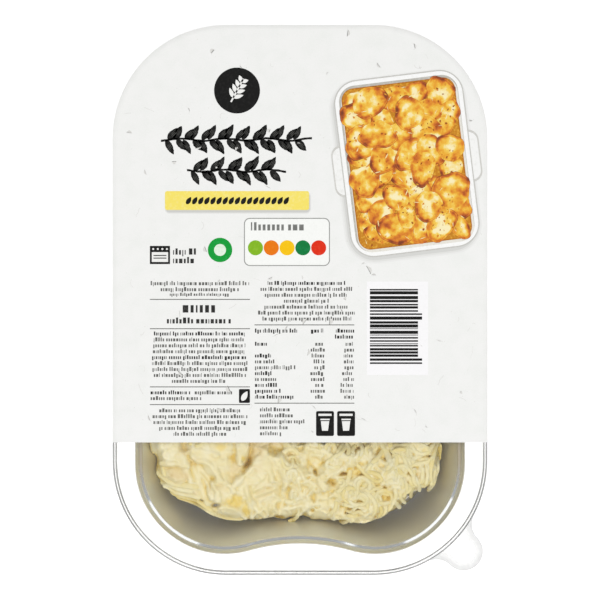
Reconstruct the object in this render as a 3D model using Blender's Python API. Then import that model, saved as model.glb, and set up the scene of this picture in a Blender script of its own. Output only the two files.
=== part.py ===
"""Chilled potato gratin in its own smooth-wall foil tray, sealed with a clear lid film.

The tray stands on its flat base, and the origin lies below its middle. +X runs across the
tray, +Y along it towards the end that the label covers, and +Z is up. All sizes are metres.
"""
import math
import random

import bmesh
import bpy
from mathutils import Matrix, Vector, noise
from mathutils.bvhtree import BVHTree

MM = 0.001
GAP = 0.3 * MM               # clearance between neighbouring pieces

# Pack outline, over the rolled rim
PACK_WIDTH = 156.0 * MM
PACK_LENGTH = 230.0 * MM
PACK_CORNER = 48.0 * MM
TRAY_HEIGHT = 35.0 * MM
WALL = 0.6 * MM
BEAD_RADIUS = 1.0 * MM
BEAD_NECK = 2.4 * MM         # from the outer edge to where the bead meets the flat flange

# Opening: straight sides, round corners and a shallow wave pushed in at both ends
CORNER_X = 31.3 * MM
CORNER_Y = 68.2 * MM
CORNER_RADIUS = 37.6 * MM
WAIST_Y = 101.4 * MM
CORNER_STEPS = 8
END_STEPS = 3

# Wall section, as inset from the opening edge and depth below the flange
EDGE_RADIUS = 0.8 * MM
UPPER_WALL_FOOT = (2.1 * MM, 4.3 * MM)
LEDGE_EDGE = (3.2 * MM, 4.7 * MM)
LEDGE_RADIUS = 0.8 * MM
WALL_FOOT_INSET = 14.6 * MM
FOOT_RADIUS = 5.0 * MM

# Lid film with its peel tab, and the label on it
FILM_THICKNESS = 0.3 * MM
TAB_RADIUS = 8.1 * MM
TAB_REACH = 5.8 * MM         # from the rim to the middle of the tab's round end
TAB_FILLET = 4.5 * MM
LABEL_THICKNESS = 0.3 * MM
LABEL_END_Y = -59.5 * MM

# Heap of gratin
HEAP_HALF_WIDTH = 59.3 * MM
HEAP_HALF_LENGTH = 92.0 * MM
HEAP_CORNER = 41.0 * MM
HEAP_SHIFT_X = -1.3 * MM
HEAP_TOP = 25.5 * MM
HEAP_SHOULDER = 20.0 * MM
HEAP_FOOT = 0.82             # width of the foot as a share of the widest outline
HEAP_RINGS = (0.12, 0.30, 0.48, 0.64, 0.78, 0.89, 0.96, 1.0)
HEAP_SIDE_HEIGHTS = (13.0 * MM, 7.0 * MM, 3.0 * MM)
CROWN_SQUARENESS = 6         # a higher power keeps the top flat further out
FLANK_BULGE = 0.75           # under 1, the side swells out quickly above its foot
LUMP_SIZE = 24.0 * MM
LUMP_HEIGHT = 3.0 * MM
LUMP_OFFSET = Vector((3.1, 7.7, 1.3))
FINE_LUMP_SCALE = 2.6
FINE_LUMP_SHARE = 0.45
SIDE_UNEVENNESS = 0.02       # share by which lumps draw the side in, never out

SLICE_THICKNESS = 4.2 * MM
SLICE_SIDES = 12
SLICE_EDGE = 0.9             # width of a slice's flat faces as a share of its rim
SLICE_CUP = 0.05             # how far a slice is bent, as a share of its radius
SLICE_LIFT = 1.8 * MM        # of a slice's middle above the core
SLICE_RISE = 4.8 * MM        # the most that any edge of a leaning slice stands above the core
SLICE_CLEARANCE = 1.2 * MM

SHRED_WIDTH = 2.2 * MM
SHRED_HEIGHT = 2.0 * MM
SHRED_LIFT = 0.7 * MM        # of a shred's middle line above what it lies on
SHRED_LENGTHS = (15.0 * MM, 25.0 * MM)
SHRED_BEND = 1.6             # the most that a shred turns along its length, in radians
SHRED_DROP = 7.0 * MM        # the most that a shred's ends differ in height
SHRED_SEGMENTS = 4
SHRED_COUNT = 62
SEED = 11

# Potato slices that show at the uncovered end: middle x and y and radius in millimetres,
# then the slice's lean across and along the tray in degrees
END_SLICES = (
    (-49.0, -53.0, 14.0, -28.0, 6.0),
    (-36.5, -57.0, 13.5, 8.0, -12.0),
    (-26.5, -59.5, 9.5, 68.0, 10.0),
    (-17.0, -58.0, 12.0, -14.0, 16.0),
    (-22.5, -77.5, 16.4, 5.0, 17.0),
    (-50.0, -69.0, 10.0, -30.0, 18.0),
    (4.5, -81.0, 12.5, -8.0, 20.0),
    (20.0, -66.0, 15.0, 10.0, -8.0),
    (33.5, -79.0, 12.0, 14.0, 22.0),
    (42.5, -62.0, 13.0, 20.0, -5.0),
)
# Slices under the label, in staggered rows, with the same units
SLICE_COLUMNS = (-41.0, -14.0, 14.0, 40.0)
SLICE_ROWS = (-32.0, -8.0, 16.0, 40.0, 64.0)
ROW_STAGGER = 3.0
SLICE_STRAY = 4.5
SLICE_RADII = (11.5, 16.0)
SLICE_LEAN = 20.0


def linear(hex_colour):
    """Turn an sRGB hex colour into linear red, green, blue and alpha."""
    channels = [int(hex_colour[i:i + 2], 16) / 255 for i in (1, 3, 5)]
    bent = [c / 12.92 if c <= 0.04045 else ((c + 0.055) / 1.055) ** 2.4 for c in channels]
    return (*bent, 1.0)


def make_material(name, hex_colour, roughness, metallic, transmission=0.0):
    material = bpy.data.materials.new(name)
    material.use_nodes = True
    shader = material.node_tree.nodes["Principled BSDF"]
    shader.inputs["Base Color"].default_value = linear(hex_colour)
    shader.inputs["Roughness"].default_value = roughness
    shader.inputs["Metallic"].default_value = metallic
    shader.inputs["Transmission Weight"].default_value = transmission
    return material


def make_object(name, mesh_work, material=None, collection=None):
    """Turn a bmesh into an object with its faces pointing out."""
    bmesh.ops.recalc_face_normals(mesh_work, faces=mesh_work.faces)
    mesh = bpy.data.meshes.new(name)
    mesh_work.to_mesh(mesh)
    mesh_work.free()
    if material:
        mesh.materials.append(material)
    piece = bpy.data.objects.new(name, mesh)
    (collection or bpy.context.scene.collection).objects.link(piece)
    return piece


def arc(centre, radius, start, end, steps):
    """Points on an arc from one angle to another, both ends included."""
    turn = (end - start) / steps
    angles = [start + turn * i for i in range(steps + 1)]
    return [(centre[0] + radius * math.cos(a), centre[1] + radius * math.sin(a)) for a in angles]


def close_outline(quarter):
    """Mirror a quarter, from the middle of the +X side to the middle of the +Y end."""
    half = quarter + [(-x, y) for x, y in reversed(quarter[:-1])]
    return half[:-1] + [(-x, -y) for x, y in half[:-1]]


def rounded_outline(half_width, half_length, radius, side_steps, corner_steps, end_steps):
    """A rectangle with round corners, split evenly along its sides and ends."""
    centre = (half_width - radius, half_length - radius)
    side = [(half_width, centre[1] * i / side_steps) for i in range(side_steps)]
    corner = arc(centre, radius, 0.0, math.pi / 2, corner_steps)
    end = [(centre[0] * (1 - i / end_steps), half_length) for i in range(1, end_steps + 1)]
    return close_outline(side + corner + end)


def pack_outline(inset):
    """The pack's outer edge, moved inwards."""
    return rounded_outline(PACK_WIDTH / 2 - inset, PACK_LENGTH / 2 - inset,
                           PACK_CORNER - inset, 1, CORNER_STEPS, END_STEPS)


def wave_radius():
    """Radius of the end wave, which touches both corner arcs and passes the waist."""
    rise = WAIST_Y - CORNER_Y
    return (CORNER_X ** 2 + rise ** 2 - CORNER_RADIUS ** 2) / (2 * (CORNER_RADIUS - rise))


def opening_outline(inset):
    """The tray's opening edge, moved inwards: corner arcs joined by the wave of each end."""
    radius = wave_radius()
    wave_centre_y = WAIST_Y + radius
    touch = math.atan2(wave_centre_y - CORNER_Y, -CORNER_X)
    corner = arc((CORNER_X, CORNER_Y), CORNER_RADIUS - inset, 0.0, touch, CORNER_STEPS)
    wave = arc((0.0, wave_centre_y), radius + inset, touch - math.pi, -math.pi / 2, END_STEPS)
    side = [(CORNER_X + CORNER_RADIUS - inset, 0.0)]
    return close_outline(side + corner + wave[1:])


def round_corner(before, corner, after, radius, steps):
    """Points of the arc that rounds one corner of a section."""
    to_before = (Vector(before) - Vector(corner)).normalized()
    to_after = (Vector(after) - Vector(corner)).normalized()
    half_angle = to_before.angle(to_after) / 2
    start = Vector(corner) + to_before * (radius / math.tan(half_angle))
    middle = Vector(corner) + (to_before + to_after).normalized() * (radius / math.sin(half_angle))
    sweep = math.pi - 2 * half_angle
    side = 1 if to_before.x * to_after.y - to_before.y * to_after.x < 0 else -1
    points = []
    for i in range(steps + 1):
        turned = Matrix.Rotation(side * sweep * i / steps, 2) @ (start - middle)
        points.append(tuple(middle + turned))
    return points


def wall_section():
    """The tray's inner face from the flange edge to the floor, as inset and height."""
    top = TRAY_HEIGHT
    edge = (EDGE_RADIUS * 0.45, top)
    upper_foot = (UPPER_WALL_FOOT[0], top - UPPER_WALL_FOOT[1])
    ledge = (LEDGE_EDGE[0], top - LEDGE_EDGE[1])
    foot = (WALL_FOOT_INSET, WALL)
    flange = (edge[0] - BEAD_NECK, top)
    floor = (foot[0] + 2 * FOOT_RADIUS, WALL)
    return (round_corner(flange, edge, upper_foot, EDGE_RADIUS, 2)
            + round_corner(edge, upper_foot, ledge, LEDGE_RADIUS, 1)
            + round_corner(upper_foot, ledge, foot, LEDGE_RADIUS, 1)
            + round_corner(ledge, foot, floor, FOOT_RADIUS, 3))


def offset_section(section, distance):
    """Move a section to its outer side, by the mean normal at each point, level at its ends."""
    level = Vector((1.0, 0.0))
    last = len(section) - 1
    moved = []
    for i, point in enumerate(section):
        along = level
        if 0 < i < last:
            along = (Vector(section[i + 1]) - Vector(section[i - 1])).normalized()
        moved.append((point[0] + along.y * distance, point[1] - along.x * distance))
    return moved


def add_ring(mesh_work, outline, height):
    return [mesh_work.verts.new((x, y, height)) for x, y in outline]


def bridge(mesh_work, rings):
    """Join rings of equal count with quads."""
    for lower, upper in zip(rings, rings[1:]):
        count = len(lower)
        for i in range(count):
            j = (i + 1) % count
            mesh_work.faces.new((lower[i], lower[j], upper[j], upper[i]))


def make_tray():
    """Foil tray: floor, sloping wall with its ledge, flat flange and rolled rim."""
    work = bmesh.new()
    inner = wall_section()
    outer = offset_section(inner, WALL)
    rings = [add_ring(work, opening_outline(inset), z) for inset, z in reversed(inner)]
    rings.append(add_ring(work, pack_outline(BEAD_NECK), TRAY_HEIGHT))
    bead_centre = (BEAD_RADIUS, TRAY_HEIGHT - BEAD_RADIUS)
    bead = arc(bead_centre, BEAD_RADIUS, math.radians(45), math.radians(315), 6)
    rings += [add_ring(work, pack_outline(inset), z) for inset, z in bead]
    rings.append(add_ring(work, pack_outline(BEAD_NECK), TRAY_HEIGHT - WALL))
    rings += [add_ring(work, opening_outline(inset), z) for inset, z in outer]
    bridge(work, rings)
    work.faces.new(rings[0])
    work.faces.new(rings[-1])
    tray = make_object("tray", work, make_material("lacquered aluminium", "#B9B3A2", 0.38, 1.0))
    tray.data.shade_smooth()
    tray.data.set_sharp_from_angle(angle=math.radians(40))
    return tray


def extrude_sheet(name, outline, bottom, thickness, material):
    """A flat sheet of one outline."""
    work = bmesh.new()
    rings = [add_ring(work, outline, bottom), add_ring(work, outline, bottom + thickness)]
    bridge(work, rings)
    work.faces.new(rings[0])
    work.faces.new(rings[1])
    return make_object(name, work, material)


def tab_outline():
    """The peel tab's edge at the (+X, -Y) corner, from its -Y side round to its +X side."""
    corner = Vector((PACK_WIDTH / 2 - PACK_CORNER, PACK_CORNER - PACK_LENGTH / 2))
    rim = PACK_CORNER
    tip_distance = rim + TAB_REACH
    fillet_distance = rim + TAB_FILLET
    tip_to_fillet = TAB_RADIUS + TAB_FILLET
    spread = math.acos((fillet_distance ** 2 + tip_distance ** 2 - tip_to_fillet ** 2)
                       / (2 * fillet_distance * tip_distance))
    aim = math.radians(-45)
    tip = corner + tip_distance * Vector((math.cos(aim), math.sin(aim)))
    first = corner + fillet_distance * Vector((math.cos(aim - spread), math.sin(aim - spread)))
    last = corner + fillet_distance * Vector((math.cos(aim + spread), math.sin(aim + spread)))
    to_first = math.atan2(*(first - tip).yx)
    to_last = math.atan2(*(last - tip).yx)
    fillet_in = arc(first, TAB_FILLET, aim - spread + math.pi, to_first + math.pi, 4)
    round_end = arc(tip, TAB_RADIUS, to_first, to_last, 12)
    fillet_out = arc(last, TAB_FILLET, to_last - math.pi, aim + spread - math.pi, 4)
    return spread, fillet_in + round_end[1:-1] + fillet_out


def film_outline():
    """The pack's outline with the tab set into its (+X, -Y) corner."""
    spread, tab = tab_outline()
    aim = math.radians(-45)
    centre = (PACK_WIDTH / 2 - PACK_CORNER, PACK_LENGTH / 2 - PACK_CORNER)
    quarter_turn = math.pi / 2
    top = arc(centre, PACK_CORNER, 0, quarter_turn, CORNER_STEPS)
    top += arc((-centre[0], centre[1]), PACK_CORNER, quarter_turn, math.pi, CORNER_STEPS)
    far = arc((-centre[0], -centre[1]), PACK_CORNER, math.pi, math.pi * 1.5, CORNER_STEPS)
    near = (centre[0], -centre[1])
    before_tab = arc(near, PACK_CORNER, -quarter_turn, aim - spread, CORNER_STEPS // 2)[:-1]
    after_tab = arc(near, PACK_CORNER, aim + spread, 0.0, CORNER_STEPS // 2)[1:]
    return top + far + before_tab + tab + after_tab


def make_lid_film():
    bottom = TRAY_HEIGHT + GAP
    clear = make_material("clear lid film", "#F4F6F6", 0.06, 0.0, transmission=0.95)
    return extrude_sheet("lid_film", film_outline(), bottom, FILM_THICKNESS, clear)


def make_label():
    """The label covers the pack from the +Y end down to a straight edge."""
    bottom = TRAY_HEIGHT + FILM_THICKNESS + 2 * GAP
    centre = (PACK_WIDTH / 2 - PACK_CORNER, PACK_LENGTH / 2 - PACK_CORNER)
    outline = [(-PACK_WIDTH / 2, LABEL_END_Y), (PACK_WIDTH / 2, LABEL_END_Y)]
    outline += arc(centre, PACK_CORNER, 0.0, math.pi / 2, CORNER_STEPS)
    outline += arc((-centre[0], centre[1]), PACK_CORNER, math.pi / 2, math.pi, CORNER_STEPS)
    paper = make_material("off-white label", "#F1F1EF", 0.6, 0.0)
    return extrude_sheet("label", outline, bottom, LABEL_THICKNESS, paper)


def lump(x, y, z):
    """Uneven rise and fall of the heap, between about -1 and 1."""
    place = Vector((x, y, z)) / LUMP_SIZE
    return (noise.noise(place + LUMP_OFFSET)
            + FINE_LUMP_SHARE * noise.noise(place * FINE_LUMP_SCALE))


def heap_ring(share):
    """The heap's outline drawn towards the line down its middle."""
    outline = rounded_outline(HEAP_HALF_WIDTH, HEAP_HALF_LENGTH, HEAP_CORNER, 3, 7, 2)
    spine = (HEAP_HALF_LENGTH - HEAP_HALF_WIDTH) / HEAP_HALF_LENGTH
    return [(HEAP_SHIFT_X + x * share, y * (spine + (1 - spine) * share)) for x, y in outline]


def make_heap_core(collection):
    """The heap without its pieces: a flat-topped mound with steep round sides."""
    work = bmesh.new()
    bottom = WALL + GAP
    levels = []
    for share in HEAP_RINGS:
        crown = math.sqrt(max(0.0, 1 - share ** CROWN_SQUARENESS))
        levels.append((share, HEAP_SHOULDER + (HEAP_TOP - HEAP_SHOULDER) * crown))
    for height in HEAP_SIDE_HEIGHTS + (bottom,):
        rise = (height - bottom) / (HEAP_SHOULDER - bottom)
        levels.append((HEAP_FOOT + (1 - HEAP_FOOT) * rise ** FLANK_BULGE, height))
    rings = []
    for share, height in levels:
        ring = []
        for x, y in heap_ring(share):
            swell = lump(x, y, height)
            pull = 1 - SIDE_UNEVENNESS * (1 + swell) * share
            rise = LUMP_HEIGHT * swell if height >= HEAP_SHOULDER else 0.0
            ring.append(work.verts.new((x * pull, y * pull, height + rise)))
        rings.append(ring)
    bridge(work, rings)
    work.faces.new(rings[0])
    work.faces.new(rings[-1])
    bmesh.ops.triangulate(work, faces=work.faces)
    return make_object("gratin", work, collection=collection)


def surface_tree(pieces):
    """One search tree over the surfaces of several objects."""
    points = []
    faces = []
    for piece in pieces:
        base = len(points)
        points += [piece.matrix_world @ vertex.co for vertex in piece.data.vertices]
        faces += [[base + i for i in polygon.vertices] for polygon in piece.data.polygons]
    return BVHTree.FromPolygons(points, faces)


def height_at(tree, x, y):
    """Height of the highest surface at a place, or None beside the heap."""
    hit = tree.ray_cast(Vector((x, y, 2 * TRAY_HEIGHT)), Vector((0, 0, -1)))[0]
    return hit.z if hit else None


def wall_inset(height):
    """Inset of the sloping wall at a height."""
    ledge_height = TRAY_HEIGHT - LEDGE_EDGE[1]
    slope = (WALL_FOOT_INSET - LEDGE_EDGE[0]) / (ledge_height - WALL)
    return LEDGE_EDGE[0] + max(0.0, ledge_height - height) * slope


def inside_tray(point, clearance):
    """Whether a point stays clear of the wall."""
    outline = opening_outline(wall_inset(point.z) + clearance)
    inside = False
    for (ax, ay), (bx, by) in zip(outline, outline[1:] + outline[:1]):
        if (ay > point.y) != (by > point.y):
            if point.x < ax + (point.y - ay) * (bx - ax) / (by - ay):
                inside = not inside
    return inside


def make_slice(draw, x, y, radius, lean_x, lean_y, tree, collection):
    """A potato slice laid into the top of the heap, its rim uneven and its edge round."""
    rim = [radius * draw.uniform(0.93, 1.05) for _ in range(SLICE_SIDES)]
    work = bmesh.new()
    rings = []
    for share, height in ((SLICE_EDGE, -0.5), (1.0, 0.0), (SLICE_EDGE, 0.5)):
        ring = []
        for i, reach in enumerate(rim):
            angle = math.tau * i / SLICE_SIDES
            cup = SLICE_CUP * radius * math.cos(2 * angle)
            ring.append(work.verts.new((reach * share * math.cos(angle),
                                        reach * share * math.sin(angle),
                                        height * SLICE_THICKNESS + cup)))
        rings.append(ring)
    bridge(work, rings)
    work.faces.new(rings[0])
    work.faces.new(rings[-1])
    slice_piece = make_object("slice", work, collection=collection)
    turn = (Matrix.Rotation(math.radians(lean_x), 4, 'Y')
            @ Matrix.Rotation(math.radians(lean_y), 4, 'X')
            @ Matrix.Rotation(draw.uniform(0, math.tau), 4, 'Z'))
    slice_piece.data.transform(turn)
    highest = max(vertex.co.z for vertex in slice_piece.data.vertices)
    lift = min(SLICE_LIFT, SLICE_RISE - highest)
    slice_piece.data.transform(Matrix.Translation((x, y, height_at(tree, x, y) + lift)))
    if not all(inside_tray(vertex.co, SLICE_CLEARANCE) for vertex in slice_piece.data.vertices):
        bpy.data.objects.remove(slice_piece)
        return None
    return slice_piece


def scattered_slices(draw):
    """Places, radii and leans of the slices under the label."""
    places = []
    for row, y in enumerate(SLICE_ROWS):
        stagger = ROW_STAGGER if row % 2 else -ROW_STAGGER
        for x in SLICE_COLUMNS:
            places.append((x + stagger + draw.uniform(-SLICE_STRAY, SLICE_STRAY),
                           y + draw.uniform(-SLICE_STRAY, SLICE_STRAY),
                           draw.uniform(*SLICE_RADII),
                           draw.uniform(-SLICE_LEAN, SLICE_LEAN),
                           draw.uniform(-SLICE_LEAN, SLICE_LEAN)))
    return places


def shred_path(draw, tree):
    """Points of one curved shred that follows the heap, or None where it doesn't fit."""
    x = HEAP_SHIFT_X + draw.uniform(-HEAP_HALF_WIDTH, HEAP_HALF_WIDTH)
    y = draw.uniform(-HEAP_HALF_LENGTH, HEAP_HALF_LENGTH)
    heading = draw.uniform(0, math.tau)
    bend = draw.uniform(-SHRED_BEND, SHRED_BEND)
    step = draw.uniform(*SHRED_LENGTHS) / SHRED_SEGMENTS
    points = []
    for i in range(SHRED_SEGMENTS + 1):
        height = height_at(tree, x, y)
        if height is None or height < HEAP_SIDE_HEIGHTS[0]:
            return None
        point = Vector((x, y, height + SHRED_LIFT))
        if not inside_tray(point, SHRED_WIDTH):
            return None
        points.append(point)
        heading += bend / SHRED_SEGMENTS
        x += step * math.cos(heading)
        y += step * math.sin(heading)
    heights = [point.z for point in points]
    if max(heights) - min(heights) > SHRED_DROP:
        return None
    for i in range(1, SHRED_SEGMENTS):
        points[i].z = max(heights[i], (heights[i - 1] + heights[i + 1]) / 2)
    return points


def make_shred(points, collection):
    """A strip of grated cheese with four sides along its path."""
    work = bmesh.new()
    rings = []
    for i, point in enumerate(points):
        along = (points[min(i + 1, len(points) - 1)] - points[max(i - 1, 0)]).normalized()
        across = along.cross(Vector((0, 0, 1))).normalized() * (SHRED_WIDTH / 2)
        rise = across.cross(along).normalized() * (SHRED_HEIGHT / 2)
        corners = (across + rise, rise - across, -across - rise, across - rise)
        rings.append([work.verts.new(point + corner) for corner in corners])
    bridge(work, rings)
    work.faces.new(rings[0])
    work.faces.new(rings[-1])
    return make_object("shred", work, collection=collection)


def keep_main_shell(mesh):
    """Drop loose scraps and the walls of sealed hollows: keep the largest shell."""
    work = bmesh.new()
    work.from_mesh(mesh)
    bmesh.ops.triangulate(work, faces=work.faces)
    shells = []
    seen = set()
    for start in work.faces:
        if start in seen:
            continue
        shell = {start}
        front = [start]
        while front:
            for edge in front.pop().edges:
                if len(edge.link_faces) != 2:
                    continue
                for face in edge.link_faces:
                    if face not in shell:
                        shell.add(face)
                        front.append(face)
        seen |= shell
        shells.append(shell)
    shells.sort(key=len, reverse=True)
    scraps = [face for shell in shells[1:] for face in shell]
    bmesh.ops.delete(work, geom=scraps, context='FACES')
    work.to_mesh(mesh)
    work.free()


def make_gratin():
    """The heap: a core with potato slices and shreds of cheese fused on."""
    draw = random.Random(SEED)
    toppings = bpy.data.collections.new("toppings")
    bpy.context.scene.collection.children.link(toppings)
    core = make_heap_core(bpy.context.scene.collection)
    core_tree = surface_tree([core])
    slices = []
    for x, y, radius, lean_x, lean_y in END_SLICES + tuple(scattered_slices(draw)):
        slices.append(make_slice(draw, x * MM, y * MM, radius * MM, lean_x, lean_y,
                                 core_tree, toppings))
    slices = [piece for piece in slices if piece]
    tree = surface_tree([core] + slices)
    count = 0
    while count < SHRED_COUNT:
        points = shred_path(draw, tree)
        if points:
            make_shred(points, toppings)
            count += 1
    core.data.materials.append(make_material("cream sauce and cheese", "#E6D9A9", 0.4, 0.0))
    fuse = core.modifiers.new("fuse", 'BOOLEAN')
    fuse.operation = 'UNION'
    fuse.solver = 'MANIFOLD'
    fuse.operand_type = 'COLLECTION'
    fuse.collection = toppings
    fused = core.evaluated_get(bpy.context.evaluated_depsgraph_get())
    mesh = bpy.data.meshes.new_from_object(fused)
    core.modifiers.remove(fuse)
    core.data = mesh
    for piece in list(toppings.objects):
        bpy.data.objects.remove(piece)
    bpy.data.collections.remove(toppings)
    keep_main_shell(mesh)
    return core


def clear_scene():
    for piece in list(bpy.data.objects):
        bpy.data.objects.remove(piece)


clear_scene()
make_tray()
make_gratin()
make_lid_film()
make_label()
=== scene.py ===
"""A sealed foil tray of potato gratin: foil, gratin, lid film, label and its print."""
import math
import random

import bmesh
import bpy
import numpy as np
from mathutils import Matrix, Vector


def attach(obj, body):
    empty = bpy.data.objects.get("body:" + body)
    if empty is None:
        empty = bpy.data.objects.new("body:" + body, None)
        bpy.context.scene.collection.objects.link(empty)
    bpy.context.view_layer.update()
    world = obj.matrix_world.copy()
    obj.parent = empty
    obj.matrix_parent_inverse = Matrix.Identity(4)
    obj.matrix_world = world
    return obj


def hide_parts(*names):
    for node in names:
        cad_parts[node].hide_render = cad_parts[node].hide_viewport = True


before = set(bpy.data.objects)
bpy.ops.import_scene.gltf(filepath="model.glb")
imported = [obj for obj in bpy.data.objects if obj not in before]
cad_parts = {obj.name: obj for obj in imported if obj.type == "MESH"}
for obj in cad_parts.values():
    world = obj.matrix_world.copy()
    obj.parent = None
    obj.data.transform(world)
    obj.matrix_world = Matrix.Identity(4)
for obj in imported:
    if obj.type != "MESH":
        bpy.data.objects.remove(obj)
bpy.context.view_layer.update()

MM = 0.001
SEED = 11

# The photograph: straight down, framed on the middle of the lid
PHOTO_SIDE = 600
MM_PER_PIXEL = 0.4177
CAMERA_DISTANCE = 1.5
SENSOR = 36.0

# Studio
FLOOR_REACH = 6.0
STUDIO_GLOW = 0.33
# Softboxes: azimuth and elevation in degrees, distance, width and height in metres, radiance
SOFTBOXES = {
    "overhead softbox": (90.0, 90.0, 2.2, 2.0, 2.0, 1.1),
    "right softbox": (47.0, 50.0, 2.0, 1.15, 0.9, 1.15),
    "left softbox": (136.0, 50.0, 2.0, 1.15, 0.9, 1.15),
    "front softbox": (270.0, 55.0, 2.0, 2.0, 0.9, 2.85),
}

# Tray
PACK_WIDTH = 156.8 * MM
PACK_LENGTH = 230.0 * MM
PACK_CORNER = 47.5 * MM
TRAY_HEIGHT = 35.0 * MM
WALL = 0.6 * MM
BEAD_RADIUS = 1.0 * MM
BEAD_NECK = 2.05 * MM
BEAD_STEPS = 18
CORNER_X = 31.3 * MM
CORNER_Y = 68.5 * MM
CORNER_RADIUS = 37.6 * MM
WAIST_Y = 101.75 * MM
CORNER_STEPS = 26
END_STEPS = 14
EDGE_RADIUS = 0.6 * MM
UPPER_WALL_FOOT = (1.4 * MM, 4.15 * MM)      # inset from the opening's edge, and depth
LEDGE_EDGE = (2.85 * MM, 4.68 * MM)
LEDGE_RADIUS = 0.7 * MM
WALL_FOOT_INSET = 14.6 * MM
FOOT_RADIUS = 2.0 * MM
FLAT_EDGE = 0.3 * MM         # narrow flat strip beside a bend, so that the flat beyond shades flat

# Finish of the foil: where along the tray the ledge is polished, and roughness place by place
POLISHED_ENDS = (68 * MM, 80 * MM)
DRAWN_WALL = 0.4
FLANGE_POLISH = 0.2
LEDGE_POLISH = 0.06
FOOT_POLISH = 0.12
# painted shade: the rolled edge is coloured dark along two lines, at these distances
ROLL_SHOULDERS = (0.42 * MM, 1.7 * MM)       # dark lines of the rolled edge, from the pack's edge
NEAR_END = (20 * MM, 55 * MM)                # from where, across and along, the rim turns to the near end

# Lid film and label
FILM_THICKNESS = 0.08 * MM
FILM_HEIGHT = TRAY_HEIGHT + 0.25 * MM
FILM_PASSES = (0.985, 0.985, 0.98, 1.0)      # share of the red, green and blue light that gets through
LABEL_THICKNESS = 0.1 * MM
LABEL_HEIGHT = FILM_HEIGHT + FILM_THICKNESS + 0.1 * MM
LABEL_END_Y = -59.5 * MM
INK_LAYER = 0.02 * MM
DROOP_BAND = 2.3 * MM        # how far in from the edge the lid starts to bend over the bead
DROOP = 0.75 * MM
DROOP_STEPS = 8
TAB_RADIUS = 8.1 * MM
TAB_FILLET = 8.0 * MM
TAB_TIP = PACK_CORNER + 5.5 * MM             # from the pack's corner centre to the tab's middle
TAB_ROOT = PACK_CORNER + TAB_FILLET          # and to the middle of a fillet at its root
TAB_COLUMNS = 48
TAB_ROWS = 16
# painted shade: how far in from the tab's free edge its film is painted grey
TAB_PAINTED_SHADE_EDGE = 7.5 * MM

# Heap of gratin: its edge, its top and the flank below its shoulder
HEAP_HALF_WIDTH = 59.3 * MM
HEAP_HALF_LENGTH = 92.0 * MM
HEAP_CORNER = 41.0 * MM
HEAP_SHIFT_X = -1.3 * MM
HEAP_TOP = 25.5 * MM
MOUND_RISE = 6.5 * MM        # how much higher the heap is in the middle than at its ends
WAVE_SINK = 7.0 * MM         # how much lower it lies against the wave of the near wall
WAVE_SINK_HALF_WIDTH = 26 * MM
WAVE_SINK_REACH = 13 * MM
LUMP_HEIGHT = 1.5 * MM
HEAP_SHOULDER = 16.0 * MM
HEAP_FOOT = 0.9              # width of the foot as a share of the widest outline
FLANK_BULGE = 0.75
FLANK_LEVELS = 12
FLANK_STRAY = 0.6 * MM
SAUCED_X = -8 * MM           # sauce covers most shreds from here to the left

# Slices under the label: places and sizes in mm, lean in degrees
SLICE_COLUMNS = (-41.0, -14.0, 14.0, 40.0)
SLICE_ROWS = (-32.0, -8.0, 16.0, 40.0, 64.0)
ROW_STAGGER = 3.0
SLICE_STRAY = 4.5
SLICE_RADII = (10.5, 14.5)
SLICE_LIFTS = (3.6, 5.6)
SLICE_LEAN = 8.0

# Strands laid at random: how many, and the middle and half length of their strip, in mm
BURIED_STRANDS = (110, -75, 20)
BURIED_SHREDS = (260, -77, 18)
TOP_STRANDS = (80, -75, 20)
LABELLED_STRANDS = (130, 16, 70)
STRAND_SIDES = 10

# Relief of the gratin's top: a grid of heights, in the part's frame
RELIEF_CELL = 0.3 * MM
RELIEF_X = (-67.0 * MM, 66.0 * MM)
RELIEF_Y = (-99.0 * MM, 97.0 * MM)
EDGE_ROUND = 5.0 * MM        # width of the band where the heap rounds down to the wall
SOFT_CEILING = 32.4 * MM     # height above which the tops flatten under the film
SQUEEZE = 1.2 * MM
FOOD_GAP = 0.3 * MM          # between the gratin and the foil
FOOD_CEILING = 34.3 * MM
MESH_CELL = 0.36 * MM
HIDDEN_CELL = 2.6 * MM       # widest mesh cell under the label
CELL_GROWTH = 1.12


# Materials


def linear(hex_colour):
    """Turn an sRGB hex colour into linear red, green, blue and alpha."""
    channels = [int(hex_colour[i:i + 2], 16) / 255 for i in (1, 3, 5)]
    bent = [c / 12.92 if c <= 0.04045 else ((c + 0.055) / 1.055) ** 2.4 for c in channels]
    return (*bent, 1.0)


def fill(node, **inputs):
    """Fill or link a node's inputs, by name or by number, such as Base_Color or _0."""
    for name, value in inputs.items():
        socket = node.inputs[int(name[1:]) if name[1:].isdigit() else name.replace("_", " ")]
        if isinstance(value, bpy.types.Node):
            value = value.outputs[0]
        if isinstance(value, bpy.types.NodeSocket):
            node.id_data.links.new(value, socket)
        else:
            socket.default_value = linear(value) if isinstance(value, str) else value


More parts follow.
